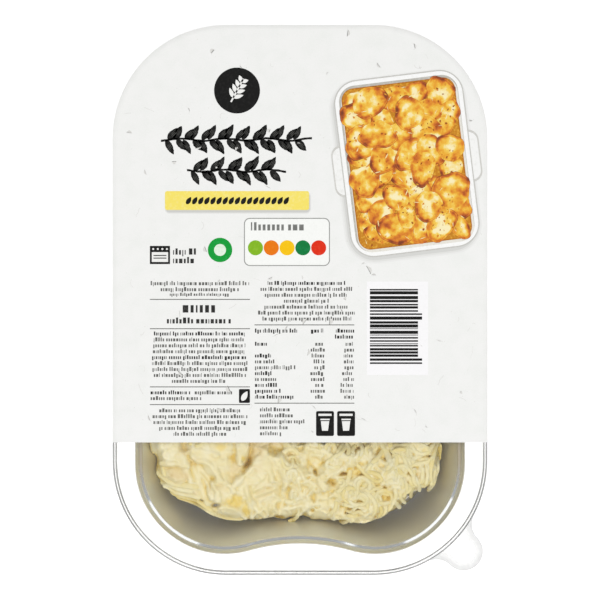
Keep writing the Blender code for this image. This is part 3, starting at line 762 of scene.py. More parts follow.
class Relief:
    """The gratin's top as a grid of heights, with shares that say what the surface is made of,
    and where a glint and shade are painted on it.

    Lobes, patches, pits and creases are given in mm and degrees, and all else in metres.
    """

    def __init__(self):
        self.xs = np.arange(*RELIEF_X, RELIEF_CELL)
        self.ys = np.arange(*RELIEF_Y, RELIEF_CELL)
        self.x, self.y = np.meshgrid(self.xs, self.ys)
        self.wall = wall_height(self.x, self.y)
        self.inside = inside_heap(self.x, self.y)
        self.stray_x = self.x + MM * (0.5 * self.noise(4, 41) + 0.22 * self.noise(1.6, 42))
        self.stray_y = self.y + MM * (0.5 * self.noise(4, 43) + 0.22 * self.noise(1.6, 44))
        self.base = self.heap_height()
        self.height = self.base.copy()
        self.shares = {name: np.zeros_like(self.base) for name in ("yellow", "bare", "golden", "painted_foil_glint")}

    def noise(self, size_mm, seed, part=...):
        """Noise over the grid, or over a part of it."""
        return vnoise(self.x[part], self.y[part], size_mm * MM, seed)

    def heap_height(self):
        """The bare heap: a gently lumpy top."""
        lumps = 0.7 * self.noise(24, 51) + 0.3 * self.noise(11, 52)
        mound = MOUND_RISE * (1 - (self.y / HEAP_HALF_LENGTH) ** 2)
        near_wave = np.exp(-(self.x / WAVE_SINK_HALF_WIDTH) ** 2
                           - ((self.y + HEAP_HALF_LENGTH) / WAVE_SINK_REACH) ** 2)
        return HEAP_TOP + mound - WAVE_SINK * near_wave + LUMP_HEIGHT * lumps

    def read(self, field, x, y):
        """Values of a field at places, blended between its cells."""
        column = np.clip((np.asarray(x) - self.xs[0]) / RELIEF_CELL, 0, len(self.xs) - 1.001)
        row = np.clip((np.asarray(y) - self.ys[0]) / RELIEF_CELL, 0, len(self.ys) - 1.001)
        i, j = row.astype(int), column.astype(int)
        u, v = column - j, row - i
        return ((1 - v) * ((1 - u) * field[i, j] + u * field[i, j + 1])
                + v * ((1 - u) * field[i + 1, j] + u * field[i + 1, j + 1]))

    def hollow(self, x, y, z):
        """How far places lie below the top around them, from 0 to 1: where shade is painted into hollows.
        """
        bounded = np.maximum(self.height, self.wall)
        return sum(np.clip((self.read(blurred(bounded, reach * MM), x, y) - z) / (reach * MM), 0, 1)
                   for reach in (0.7, 1.6, 3.2)) / 3

    def raise_to(self, part, top):
        self.height[part] = np.maximum(self.height[part], top)

    def raise_share(self, name, part, share):
        self.shares[name][part] = np.maximum(self.shares[name][part], share)

    def window(self, x, y, reach):
        """The part of the grid around places."""
        i = np.searchsorted(self.ys, (np.min(y) - reach, np.max(y) + reach))
        j = np.searchsorted(self.xs, (np.min(x) - reach, np.max(x) + reach))
        return slice(*i), slice(*j)

    def oval(self, x, y, half_x, half_y, turn, grow=1.0):
        """The grid round an oval, and each cell's distance from its middle, 1 at its uneven edge."""
        part = self.window([x * MM], [y * MM], (grow * max(half_x, half_y) + 1.5) * MM)
        dx, dy = self.stray_x[part] - x * MM, self.stray_y[part] - y * MM
        turn = math.radians(turn)
        along = (dx * math.cos(turn) + dy * math.sin(turn)) / (half_x * MM)
        across = (dy * math.cos(turn) - dx * math.sin(turn)) / (half_y * MM)
        return part, np.hypot(along, across)

    def lay_lobe(self, x, y, half_x, half_y, turn, lift, tip=0.0, tip_way=0.0, firm=2.6):
        """Lay a rounded lobe of potato or sauce, which may tip down towards a direction."""
        part, share = self.oval(x, y, half_x, half_y, turn)
        dome = np.clip(1 - share ** firm, 0, 1) ** (1 / firm)
        way = math.radians(tip_way)
        out = (self.x[part] - x * MM) * math.cos(way) + (self.y[part] - y * MM) * math.sin(way)
        top = self.base[part] + lift * MM * (dome - 0.12) - math.tan(math.radians(tip)) * out
        self.raise_to(part, np.where(share < 1, top, -1.0))

    def paint(self, name, x, y, half_x, half_y, turn, strength):
        """Raise a share in a soft ragged oval."""
        part, share = self.oval(x, y, half_x, half_y, turn, 1.6)
        ragged = share + 0.35 * self.noise(1.4, 21, part)
        self.raise_share(name, part, strength * np.clip(1.35 - ragged, 0, 0.7) / 0.7)

    def dig(self, x, y, half_x, half_y, turn, depth):
        """Press a soft oval hollow into the top, golden at its bottom: partly the potato's own colour,
        partly painted shade that deepens with the depth.
        """
        part, share = self.oval(x, y, half_x, half_y, turn, 1.8)
        hollow = np.exp(-share ** 3)
        self.height[part] -= depth * MM * hollow
        self.raise_share("golden", part, min(0.8, 0.2 + 0.2 * depth) * hollow)

    def measure(self, route, reach, ragged=False):
        """The grid round a route, each cell's distance from it and place along it."""
        part = self.window(route[:, 0], route[:, 1], reach)
        x, y = (self.stray_x, self.stray_y) if ragged else (self.x, self.y)
        cells = np.stack([x[part].ravel(), y[part].ravel()], axis=1)
        start, step = route[:-1], route[1:] - route[:-1]
        offset = cells[:, None, :] - start[None]
        along = np.clip((offset * step).sum(-1) / (step ** 2).sum(-1), 0, 1)
        away = np.linalg.norm(offset - along[..., None] * step[None], axis=-1)
        nearest = away.argmin(axis=1)
        index = np.arange(len(cells))
        shape = self.x[part].shape
        place = nearest + along[index, nearest]
        return part, away[index, nearest].reshape(shape), place.reshape(shape)

    def crease(self, width, depth, colour, *points):
        """Press a crease along a route, shallower at its ends, golden along it: partly potato where sauce
        is thin, partly painted shade.
        """
        route = smooth_route(points) * MM
        part, away, place = self.measure(route, (1.6 * width + 1) * MM, True)
        fade = np.clip(4 * place / len(route), 0, 1) * np.clip(4 - 4 * place / len(route), 0, 1)
        uneven = 0.75 + 0.45 * self.noise(1.7, 71, part)
        valley = np.exp(-(2.6 * away / (width * MM)) ** 2) * (0.15 + 0.85 * fade) * uneven
        self.height[part] -= 0.8 * depth * MM * valley
        self.raise_share("golden", part, 0.5 * colour * valley)

    def round_edge(self):
        """Bring the heap's edge down to its shoulder, and the tops gently under the film."""
        over = self.height - SOFT_CEILING
        squeezed = SOFT_CEILING + SQUEEZE * (1 - np.exp(-np.maximum(over, 0) / SQUEEZE))
        self.height = np.where(over > 0, squeezed, self.height)
        shoulder = np.clip(self.wall + MM, HEAP_SHOULDER, HEAP_TOP)
        share = np.clip(self.inside / EDGE_ROUND, 0, 1)
        rounded = (1 - (1 - share) ** 1.8) ** 0.6
        top = shoulder + (self.height - shoulder) * rounded
        self.height = np.where(self.inside > 0, top, shoulder + 3.0 * self.inside)

    def rest_heights(self, route):
        """Heights on which a strand would lie along a route, bridging the gaps under it."""
        x, y = route[:, 0], route[:, 1]
        under = np.maximum(self.read(self.height, x, y), self.read(self.wall, x, y))
        reach = 2
        spans = np.lib.stride_tricks.sliding_window_view(np.pad(under, reach, 'edge'), 2 * reach + 1)
        high = np.pad(spans.max(axis=1), reach, 'edge')
        bridged = np.lib.stride_tricks.sliding_window_view(high, 2 * reach + 1).mean(axis=1)
        return 0.6 * bridged + 0.4 * spans.mean(axis=1)

    def lay_strand(self, route, width, rise, stand, square=0.8, ragged=False):
        """Raise the top where a strand lies, and return the strand's middle heights.

        stand is how much of the strand's thickness is above what it lies on, from 0 to 1.
        """
        middle = np.minimum(self.rest_heights(route) + (stand - 0.5) * rise, FOOD_CEILING - rise)
        part, away, place = self.measure(route, 0.6 * width + (MM if ragged else 0), ragged)
        low = np.clip(place.astype(int), 0, len(route) - 2)
        height = middle[low] + (place - low) * (middle[low + 1] - middle[low])
        dome = np.sqrt(np.clip(1 - (2 * away / width) ** 2, 0, 1))
        self.raise_to(part, np.where(2 * away < width, height + 0.5 * rise * dome ** square, -1.0))
        return middle

    def sauce_between(self, bare_top):
        """The sauce's top once it has risen between the strands on it, but not in the pits."""
        kept_open = np.clip(self.shares["golden"] - 0.35, 0, 1)
        risen = blurred(self.height, 1.0 * MM) - 0.12 * MM - 8 * MM * kept_open
        return np.maximum(bare_top, np.minimum(risen, self.height))


def strand_path(x, y, heading, length, turn, wave, steps=18):
    """A strand's route from a start, a heading and how far it turns, in mm and degrees."""
    angle = math.radians(heading)
    points = [(x * MM, y * MM)]
    for i in range(steps):
        share = (i + 0.5) / steps
        bend = angle + math.radians(turn) * share + math.radians(wave) * math.sin(math.tau * share)
        points.append((points[-1][0] + length * MM / steps * math.cos(bend),
                       points[-1][1] + length * MM / steps * math.sin(bend)))
    return np.array(points)


# Lobes of potato and sauce in the clear end: middle, half sizes, turn, lift, then how far the
# lobe tips and which way; mm and degrees
LOBES = (
    (-57, -60.5, 7.6, 8.8, 20, 5.6), (-51.5, -66, 7, 4.2, -8, 3.8), (-39, -61.5, 9.5, 7.4, -14, 5.2),
    (-34.5, -69, 7, 6.2, -40, 4.2), (-51.6, -73, 4.8, 3.8, -20, 2.2), (-31, -61, 4, 6, 0, 5),
    (-24.6, -62.5, 3.1, 7.2, -8, 5.8, 6, -90), (-26.6, -71.5, 4.2, 3.6, 60, 3),
    (-17.6, -61.5, 5.4, 6.5, -20, 2), (-17.5, -81, 10.8, 13, -12, 5.4, 5, -80),
    (-21.5, -75, 8.6, 6, 35, 5.2), (-16.5, -70.5, 5, 8, -22, 6, 4, 150), (-32.5, -79.5, 5.6, 7, -25, 4.6),
    (-28, -86.5, 6.5, 5, -10, 4.2), (-29.5, -89.6, 6.4, 2.6, -6, 4.4), (-14.5, -88.5, 5.5, 4.4, 20, 5.6),
    (-7.5, -72.5, 5.5, 8.5, 25, 5.2), (-2, -73, 6.5, 6, 0, 4.8), (-9.8, -66.8, 4.8, 2.6, -30, 5.2),
    (-4, -88.5, 6, 4.6, 10, 4.6), (2.3, -87, 3.4, 4.6, 25, 5.4), (-1.8, -81.5, 5.6, 5.4, 0, 4.6),
    (9, -89.8, 7, 3.9, -2, 4.6), (14.5, -89.8, 4.6, 3.7, 0, 4.4), (10.5, -84, 7, 5, -14, 4.6),
    (7.5, -78, 5, 5.6, 0, 4.8), (7, -62, 6.5, 3.6, -8, 5), (15, -71, 6.4, 5, 0, 4.6),
    (19, -66.8, 9, 3, 6, 4.8), (27, -66, 5, 4, 0, 5), (31, -70.5, 6, 4.6, 0, 4.6),
    (36.5, -73.5, 4.6, 5.6, 0, 4.6), (20, -79.5, 6, 6.4, 0, 4.8), (28, -78, 5, 4.4, 0, 4.4),
    (30, -85.5, 6, 5.4, 0, 5), (24.6, -91.8, 5, 2.6, -16, 5.4), (34.6, -87.6, 4.4, 3.4, 30, 4.6),
    (41, -81.5, 4.4, 5, 30, 4.2), (43, -68, 5, 6, 0, 4.4), (50, -61.5, 5.6, 4.8, 0, 5),
    (51, -70, 5, 6, 0, 3.6), (49, -76.5, 3.6, 3.4, 0, 3.8), (56, -68, 2.6, 9, -6, 4.6),
)

# Ribs under the sauce: width, rise, then the route's points, in mm
RIBS = (
    (3, 2, (-48.6, -70.4), (-47, -74), (-45, -78.5), (-42, -83.6), (-38.4, -88)),
    (3, 2.2, (-45.2, -69.6), (-43.2, -74), (-41.4, -79.5), (-39.4, -84.6), (-37.2, -88.6)),
    (3.2, 2.2, (-42, -69.4), (-39.8, -73.5), (-38.2, -78), (-37, -82.5)),
    (2.4, 1.8, (-58, -68.4), (-53, -69), (-47.4, -69.4)),
    (2.6, 1.8, (-46.4, -63.4), (-43, -66.4), (-38, -68.8), (-35, -72.5)),
    (2.4, 1.4, (-44.8, -62.2), (-39, -63.2), (-34.5, -64.6)),
    (2.2, 1.6, (-27, -58.6), (-26.2, -63.5), (-25, -68.2)),
    (1.9, 1.8, (-24.2, -58.6), (-24.4, -62), (-24.8, -65.2)),
    (1.6, 1.4, (-21.9, -58.6), (-22.1, -63), (-22.6, -67.2), (-24.4, -68.8)),
    (3, 2.4, (-15.2, -63.4), (-18.6, -68.6), (-22.6, -72), (-26.4, -76.6), (-28.8, -81.6), (-30.4, -84.2)),
    (2.6, 2.2, (-14.4, -63), (-13.6, -67.5), (-12.4, -71.5), (-12.2, -75)),
    (2.4, 2.4, (-12.4, -65.2), (-9.4, -68.4), (-7.2, -73), (-6.6, -79), (-7.6, -84.4), (-9.6, -88.8),
     (-12.4, -91.2), (-17, -92)),
    (2.2, 1.6, (-22.6, -78.4), (-21.6, -82.5), (-19.6, -86), (-16.6, -89), (-14.2, -91.4)),
    (1.4, 0.6, (-19, -79.6), (-16.4, -78), (-12.4, -77)),
    (1.4, 0.6, (-18.6, -82), (-14.8, -80), (-10.8, -79)),
    (1.4, 0.6, (-16.6, -83.6), (-13.4, -82.2), (-10.2, -81.6)),
    (1.6, 0.8, (-17, -86), (-14.4, -87.4), (-13.2, -90)),
    (2, 1.6, (-21.6, -84), (-20.8, -88), (-20, -92)),
    (2.2, 1.6, (-35.4, -73), (-33, -76), (-29.6, -77.6), (-27, -80.6)),
    (2.4, 1.8, (-36.6, -77), (-34.6, -80.4), (-35, -84.2)),
    (2.2, 1.8, (-33.6, -86.8), (-29, -87.4), (-25.4, -88.8), (-22.6, -91.8)),
    (3.4, 2.8, (-7, -58.4), (-2.6, -63), (2, -67.2), (5.2, -70.6), (8.6, -75.2), (10.4, -79)),
    (2.4, 2, (-2, -58.4), (1, -63), (3.8, -66.8), (6.2, -70)),
    (2.8, 2.4, (6.6, -65.6), (8, -69.6), (9.2, -73.4)),
    (2, 1.6, (2.6, -61.4), (6.6, -62.8), (10.6, -61.8), (13, -59.2)),
    (1.8, 1.6, (3.4, -65), (6, -65.2), (9.6, -64.4), (12.6, -62.2)),
    (2.2, 1.8, (-6, -84.2), (-2.4, -85.2), (1.4, -83.4), (3, -79.6), (1, -77), (-2.6, -76.8)),
    (2.2, 1.8, (-7, -86.6), (-2, -87.2), (2.4, -85.2), (4.8, -81.6), (6, -78.4)),
    (1.9, 2, (-3.9, -82.6), (-4.1, -80.6), (-2.4, -79.2), (-0.4, -80), (0.2, -82), (-1.2, -83.4)),
    (2, 1.6, (-4.8, -72), (-1.6, -74.6), (-0.6, -77.2)),
    (2.2, 1.8, (-10.4, -65.6), (-6.4, -67.6), (-4, -70.8), (-4.6, -75.4), (-7, -79)),
    (2, 1.8, (0.4, -71), (2.2, -75), (5.2, -77.2)),
    (2.6, 2, (3.6, -84.4), (2.6, -87.6), (0.4, -90.2)),
    (2.8, 2.2, (11.4, -81.2), (14.6, -79), (18, -77.4)),
    (2.4, 1.6, (8, -82.6), (12, -82.6), (15.6, -80.6)),
    (2.2, 1.6, (10, -86.4), (14, -85.4), (17, -82.6)),
    (2, 1.8, (13.6, -66.8), (15.8, -67.6), (17.6, -69.8), (16.4, -71.8), (13.6, -72)),
    (2.4, 1.8, (11, -69.6), (13.4, -73.4), (17.4, -75.4)),
    (2.2, 2, (22.8, -73.8), (21.2, -77.2), (20.8, -81), (22.4, -84.2)),
    (2, 1.8, (19, -86.4), (18, -89.6), (19.8, -92.2), (22.6, -92.4)),
    (2.6, 2.2, (21, -90.8), (24, -93), (27.6, -93.2), (30.6, -91.6)),
    (2.4, 2, (26, -86.6), (26.6, -90), (29.8, -91.2)),
    (2.2, 1.8, (30.8, -65.2), (34, -67.4), (38, -69)),
    (2, 1.8, (34.8, -76), (37.6, -76.8), (40.4, -76.2)),
)

# Strands of cheese that lie free in the clear end: width, then the route's points, in mm
FREE_STRANDS = (
    (2.7, (-60, -72), (-57, -74.6), (-52, -77.2), (-46, -78), (-42.5, -78.6)),
    (2.3, (-58.6, -76.6), (-55, -77.6), (-50, -79.4), (-44.5, -80.2)),
    (2.4, (-57.6, -77.8), (-54.6, -79), (-51, -81), (-45.5, -81.9), (-41.6, -83.2)),
    (1.6, (-57.6, -69.8), (-56.8, -73.2)),
    (1.9, (-54.6, -80.4), (-52, -82), (-48, -83), (-44, -84), (-40, -86.4), (-36.8, -89.2)),
    (2, (-52.2, -83.2), (-47, -84.8), (-41.5, -87), (-37, -89.6), (-31, -91.8), (-24, -92.4)),
    (2.7, (33.4, -58.6), (35.4, -62), (37.2, -66), (38, -70), (39.2, -73.6), (40.6, -76)),
    (1.9, (40.4, -65), (40.6, -69.4), (42.2, -72.2), (45, -73.8)),
    (2, (41.6, -74.2), (42.9, -76.2), (43, -79.2)),
    (1.8, (23.6, -68.6), (26.4, -71.6), (29.8, -74.8), (32.6, -76), (34.2, -75.2), (33.4, -73.6),
     (30.8, -72.4), (28, -71.8)),
    (1.8, (31.6, -83), (32.6, -80.8), (35.2, -79.8), (37.8, -80.8), (38.9, -83.4), (38.3, -86.4),
     (36.6, -88.6)),
    (1.7, (33, -84.8), (35.2, -85.4), (37.4, -84.8)),
    (2, (25.6, -80.6), (28.6, -81.6), (31, -84), (31.8, -87.4), (30.6, -90.4)),
    (1.8, (23.2, -79.2), (22.8, -76.6), (24.8, -74.6), (27.6, -74.8), (29.4, -77), (28.8, -79.6)),
    (1.7, (24, -81.6), (27, -84), (28.4, -87), (26.4, -88.8)),
    (1.6, (20.6, -84), (22.6, -85.8), (25.2, -85.6)),
    (1.6, (22.4, -88), (24, -86.6), (26.2, -87.4)),
    (1.6, (20, -88.8), (22.6, -89.4), (25, -88.8), (26.8, -90.2)),
    (1.7, (33.6, -86.4), (34.2, -88.8), (33, -91)),
    (1.6, (36, -86.2), (36, -88.4), (34.4, -90.6)),
    (1.8, (39.6, -78.4), (40.2, -82), (38.8, -86)),
    (1.7, (42, -80.4), (42.6, -83.4), (44.4, -85.6)),
    (1.7, (44.2, -76), (44.8, -79.2), (43.4, -82.6)),
    (1.8, (45.6, -74.4), (47, -78.2), (46.6, -81.2), (46.8, -83.4)),
    (1.9, (47.6, -73.6), (49.6, -77), (50.2, -80.4)),
    (2, (39.8, -84.4), (41.2, -86.4), (42.4, -87.8)),
    (2, (57.8, -58.8), (56.2, -64), (55, -69), (54.6, -73.8), (55.4, -77)),
    (1.9, (59, -60.4), (58.9, -64), (58.6, -67.6)),
    (2.1, (57.8, -66.8), (57.4, -71.8), (56, -76.4), (54.2, -80.8)),
    (1.8, (56.6, -70.4), (55.9, -74.4), (54.8, -77.6)),
    (1.7, (51.2, -69.8), (51.4, -73), (51, -76)),
    (1.7, (53, -69.4), (53.4, -73.4), (52.6, -77.4)),
    (1.8, (44.6, -66.8), (49, -65.8), (53.4, -63.4), (56.4, -59.8)),
    (1.7, (44, -69.4), (48.8, -68.8), (53.4, -67.6), (56, -65.4)),
    (1.7, (46.8, -60.6), (48.4, -63.4), (52, -64.4), (55, -62.8)),
    (1.8, (42.4, -63), (43.8, -66.8), (45.6, -70.4), (48.4, -71.6)),
    (1.6, (45.8, -61), (44.8, -64), (46.6, -67.4)),
    (1.8, (39, -60.6), (42.6, -60.8), (46.8, -59.8)),
    (1.7, (38.6, -63.4), (42, -62.4), (45.6, -63)),
    (1.9, (48, -71), (47.4, -74.6), (49, -78)),
    (2, (13.2, -59.6), (14.6, -61.6), (14, -64.4)),
    (1.8, (17.6, -60.4), (16.6, -62.4), (15.4, -64.6)),
    (1.9, (19.4, -59.6), (20.4, -62.4), (20.2, -65.4)),
    (1.8, (24.4, -60.4), (22.2, -62.4), (22.4, -65.2)),
    (1.8, (25, -60), (26.2, -62.4), (25.2, -65.4)),
    (1.8, (29.2, -60.6), (27.6, -62.6), (28.4, -65)),
    (2, (31, -58.8), (32, -61), (31, -63.2)),
    (1.7, (10.4, -63.2), (11, -60.8), (12.8, -59.2)),
    (1.7, (22.6, -59.4), (24.8, -58.8), (27.4, -59.4), (30, -58.6)),
    (1.7, (-5, -93.4), (-3, -93), (-1.2, -91.4), (-0.4, -89.2)),
    (1.8, (16.6, -93.4), (18.4, -93.9), (20.6, -93)),
    (1.6, (-57.9, -70.2), (-57, -72.4), (-56.6, -74)),
    (1.6, (40.6, -69.8), (43.4, -69.2), (45.6, -70.8), (47.4, -73.6)),
    (1.6, (12.8, -66.4), (11, -68.8), (12.4, -71.2)),
    (1.7, (24, -83.2), (25.6, -81.2), (28, -82.6), (27.4, -85.2), (25, -85.8)),
    (1.6, (29, -80.4), (31.6, -79), (34.2, -78.6)),
)

# Creases: width, depth, how golden, then the route's points, in mm
CREASES = (
    (2.2, 1.8, 0.9, (-47.6, -62), (-46.2, -65.2), (-45.6, -69.6)),
    (1.8, 1.2, 0.8, (-60.6, -67.4), (-57, -69.4), (-52, -70.2), (-49.8, -71.4), (-48.4, -74.2)),
    (1.6, 0.9, 0.6, (-54.4, -75.8), (-50, -77.2), (-46.8, -77.8)),
    (1, 0.8, 0.7, (-42.4, -71), (-39.6, -74.4), (-38.2, -78.6), (-37.4, -82)),
    (1.3, 0.7, 0.6, (-44.6, -60.6), (-42, -60.4)),
    (1.4, 1.2, 0.9, (-27.8, -58.8), (-27.6, -62), (-27, -65)),
    (2.6, 3.4, 1, (-20.8, -58.8), (-21, -64), (-21.9, -68), (-23.6, -71.6), (-27, -75)),
    (2.2, 1.6, 0.8, (-15.8, -62), (-12.6, -61.6), (-9.4, -62.8), (-7.2, -63.4)),
    (1, 0.9, 0.8, (-22.6, -76.8), (-21.6, -77.4), (-20.6, -78.2)),
    (1, 0.3, 0.5, (-17.8, -81), (-14.8, -79.2), (-12.2, -78.4)),
    (1, 0.3, 0.5, (-16.2, -82.9), (-13.6, -81.4), (-11.4, -80.6)),
    (1.6, 0.9, 0.4, (-5.4, -70.6), (-4.8, -75), (-5, -80), (-6.4, -85), (-9, -89.4)),
    (1.3, 0.6, 0.4, (-11.4, -66.6), (-9.4, -70.4), (-9, -74)),
    (1.5, 0.8, 0.5, (-35.4, -77.2), (-32.6, -77.4), (-30.8, -76.4)),
    (1.6, 1.2, 0.7, (-36.4, -90.6), (-32, -90.8), (-28.4, -91.6)),
    (1.8, 1.5, 0.8, (-9, -85.8), (-9.4, -89.4), (-10.6, -91.6)),
    (1.8, 2.4, 1, (-5.2, -63.4), (-3, -66.2), (-0.2, -68.4)),
    (1.4, 1.4, 0.9, (1.6, -65.6), (4.6, -68.6), (6.8, -71.2), (8.8, -75)),
    (1, 0.7, 0.7, (3.2, -61), (6.6, -61.8), (10.2, -61.2), (12.4, -59.8)),
    (1, 0.9, 0.8, (2.8, -63.4), (4.6, -63.6), (5.8, -64.4)),
    (1.1, 0.8, 0.7, (-0.4, -76.9), (1.2, -77.6), (2.8, -78.2)),
    (1.1, 0.7, 0.6, (2.6, -82.8), (4, -80.4), (5.2, -78.8)),
    (1.2, 0.8, 0.6, (-3.2, -75.4), (-2.2, -73.6), (-0.8, -72.2)),
    (1, 0.7, 0.6, (-5.2, -80.4), (-3.2, -78.4), (-0.4, -79)),
    (1.2, 0.7, 0.6, (-6.4, -85.6), (-2.4, -86.2), (1, -84.8)),
    (1.2, 0.7, 0.5, (6, -76.2), (8, -78), (9.4, -80.6)),
    (1.2, 0.6, 0.5, (13.6, -74), (15, -76.6), (14.6, -78.4)),
    (1.6, 1, 0.7, (9.4, -66), (10, -68.4), (10.8, -70.6)),
    (1.2, 0.9, 0.8, (16, -70.4), (17.8, -69.4), (18, -67.6)),
    (1.4, 1.2, 0.9, (20.4, -85.4), (21.4, -86.4), (22.4, -87.2)),
    (1.6, 1.3, 0.9, (21.4, -90.4), (23.4, -90.2), (25.4, -90.6)),
    (1.2, 1, 0.8, (24.2, -85.4), (25.2, -87), (25, -89)),
    (1.4, 1.2, 0.9, (31, -92), (32.2, -90.4), (33.6, -91.4)),
    (1.4, 1.2, 0.8, (15.6, -62), (17.6, -60.8)),
    (2, 1, 0.7, (22, -78.4), (23.6, -76.6), (25.8, -75.2)),
    (1.4, 1.6, 0.8, (48.6, -71.6), (49.4, -75.6)),
    (1.2, 1.2, 0.9, (52.2, -72), (52, -75.6)),
    (1.1, 1, 0.8, (56.8, -61), (55.6, -64.6)),
    (1.6, 1.2, 0.8, (38.4, -80), (39.4, -83.6), (38.6, -87.2)),
    (1.3, 0.8, 0.6, (44.8, -75.6), (46, -78.2)),
)

# Pits: middle, half sizes, turn and depth, in mm and degrees
PITS = (
    (-35.4, -86.3, 1.8, 0.8, 10, 4), (-42, -83.8, 1.1, 0.6, -30, 3), (-22, -68.4, 1.2, 2, -40, 2.4),
    (-8.2, -91.6, 2.2, 0.9, -10, 4), (6.2, -72.2, 0.6, 1.3, 15, 4.5), (18.2, -73, 1.9, 0.6, 22, 4),
    (20.4, -70.8, 1.2, 0.7, 50, 1.2), (5.2, -88.6, 0.8, 0.9, 0, 2.2), (54.6, -65.6, 0.7, 0.6, 0, 3.4),
    (53.9, -72.2, 0.6, 0.9, -30, 2.6), (54, -77.2, 0.6, 1.1, -40, 5), (36, -82.6, 2.3, 1.6, 0, 0.6),
    (21.2, -86, 1.3, 0.4, -35, 1.6), (24.2, -86.6, 0.9, 0.5, 30, 1.8), (20.6, -90, 1.2, 0.5, -20, 1.6),
    (46, -80.6, 0.5, 1.4, -25, 4), (24.8, -61.8, 0.9, 0.4, 10, 1.6), (37.6, -63.6, 0.9, 0.5, -30, 1.4),
)

# Patches: middle, half sizes, turn and strength. Potato is yellow, or bare of sauce; the grey
# patches are a painted glint of foil in gaps between the food
PATCHES = {
    "yellow": (
        (20.8, -70.8, 1.7, 0.9, 40, 0.9), (6.4, -72.6, 1, 1.6, 20, 0.6), (-32.6, -61.2, 3.2, 1.7, 4, 0.9),
        (-27.2, -84.6, 4.2, 2.6, -4, 1), (-22.4, -88.6, 1.4, 3, 24, 0.9), (-23.9, -66.3, 0.9, 1.3, 30, 0.9),
        (35.3, -82.8, 2.4, 1.8, 0, 0.9), (24.2, -77.2, 2.6, 1.4, 40, 0.6), (23.4, -72.2, 1.6, 1.6, 0, 0.6),
        (34.6, -66, 1.8, 1, -40, 0.5), (52.6, -63.2, 2.2, 1.4, 20, 0.4), (-11.4, -64.2, 1.6, 1.4, 0, 0.5),
        (32.4, -74.2, 1.6, 0.7, -20, 0.6),
    ),
    "bare": (
        (-51.6, -73, 4.2, 3.2, -20, 0.9), (-48.6, -62, 2.4, 3.2, 0, 0.5), (-44.4, -67.4, 2.4, 1.8, 0, 0.5),
        (-17.6, -61.8, 3.6, 4.6, 0, 1), (-11.5, -60.4, 4, 1.6, 0, 0.9), (-26.8, -71.8, 2.6, 3.2, -20, 0.8),
        (-33, -78.4, 2, 1.8, 0, 0.4), (-17.6, -70.6, 2.6, 2, 0, 0.35), (-14.8, -80.6, 4.4, 3, 20, 0.4),
        (-3.6, -66, 3.2, 1.6, -30, 0.6), (-44.4, -81.2, 1.6, 0.9, 0, 0.7), (-50, -83.2, 1.6, 0.9, 0, 0.5),
        (50, -74.2, 1.6, 2.6, 0, 0.5), (37, -60.6, 1.8, 1.6, 0, 0.5),
    ),
    "painted_foil_glint": (
        (-41.9, -84, 0.7, 0.4, -30, 1), (-35.4, -86.3, 1.3, 0.6, 10, 1), (-37.2, -88.6, 0.5, 0.3, 40, 0.8),
        (45.5, -81.6, 0.5, 1.3, -25, 1),
    ),
}


def wild_strand(draw, centre_y, half_length):
    """A strand at random: mostly a gentle bow, now and then a curl."""
    x = draw.uniform(-60, 58)
    y = centre_y + draw.uniform(-half_length, half_length)
    turn = draw.gauss(0, 60) if draw.random() < 0.75 else draw.choice((-1, 1)) * draw.uniform(120, 250)
    return (x, y, draw.uniform(0, 360), draw.uniform(6, 13), turn, draw.uniform(-50, 50))


def strand_welcome(x, y):
    """How likely strands lie at a place: hardly any on the sauced slices, most at the right."""
    if y > -58:
        return 0.7
    if x > 34 or (x > 19 and y < -76):
        return 1.0
    if x > 10 and y > -66:
        return 0.6
    return 0.1 if x > -6 else 0.0


def scatter_strands(relief, draw, count, centre_y, half_length):
    """Routes of random strands on the heap."""
    routes = []
    tries = 0
    while len(routes) < count and tries < 60 * count:
        tries += 1
        route = strand_path(*wild_strand(draw, centre_y, half_length))
        middle = route[len(route) // 2]
        inside = relief.read(relief.inside, route[:, 0], route[:, 1])
        if draw.random() < strand_welcome(middle[0] / MM, middle[1] / MM) and inside.min() > -0.6 * MM:
            routes.append(route)
    return routes


def scatter_shreds(relief, draw, count, centre_y, half_length):
    """Routes of short shreds that lie under the sauce, fewer on the smooth slices at the left."""
    routes = []
    while len(routes) < count:
        x, y = draw.uniform(-62, 60), centre_y + draw.uniform(-half_length, half_length)
        smooth_there = y < -58 and x < -12 and draw.random() < 0.6
        if relief.read(relief.inside, x * MM, y * MM) > 1.0 * MM and not smooth_there:
            routes.append(strand_path(x, y, draw.uniform(0, 360), draw.uniform(3, 8),
                                      draw.gauss(0, 60), draw.uniform(-30, 30), 10))
    return routes


def lay_hidden_slices(relief, draw):
    """Rows of slices under the label, each leaning its own way."""
    for row, y in enumerate(SLICE_ROWS):
        stagger = ROW_STAGGER if row % 2 else -ROW_STAGGER
        for x in SLICE_COLUMNS:
            radius = draw.uniform(*SLICE_RADII)
            relief.lay_lobe(x + stagger + draw.uniform(-SLICE_STRAY, SLICE_STRAY),
                            y + draw.uniform(-SLICE_STRAY, SLICE_STRAY),
                            radius, radius * draw.uniform(0.85, 1.0), draw.uniform(0, 180),
                            draw.uniform(*SLICE_LIFTS), draw.uniform(0, SLICE_LEAN),
                            draw.uniform(0, 360), 4.0)


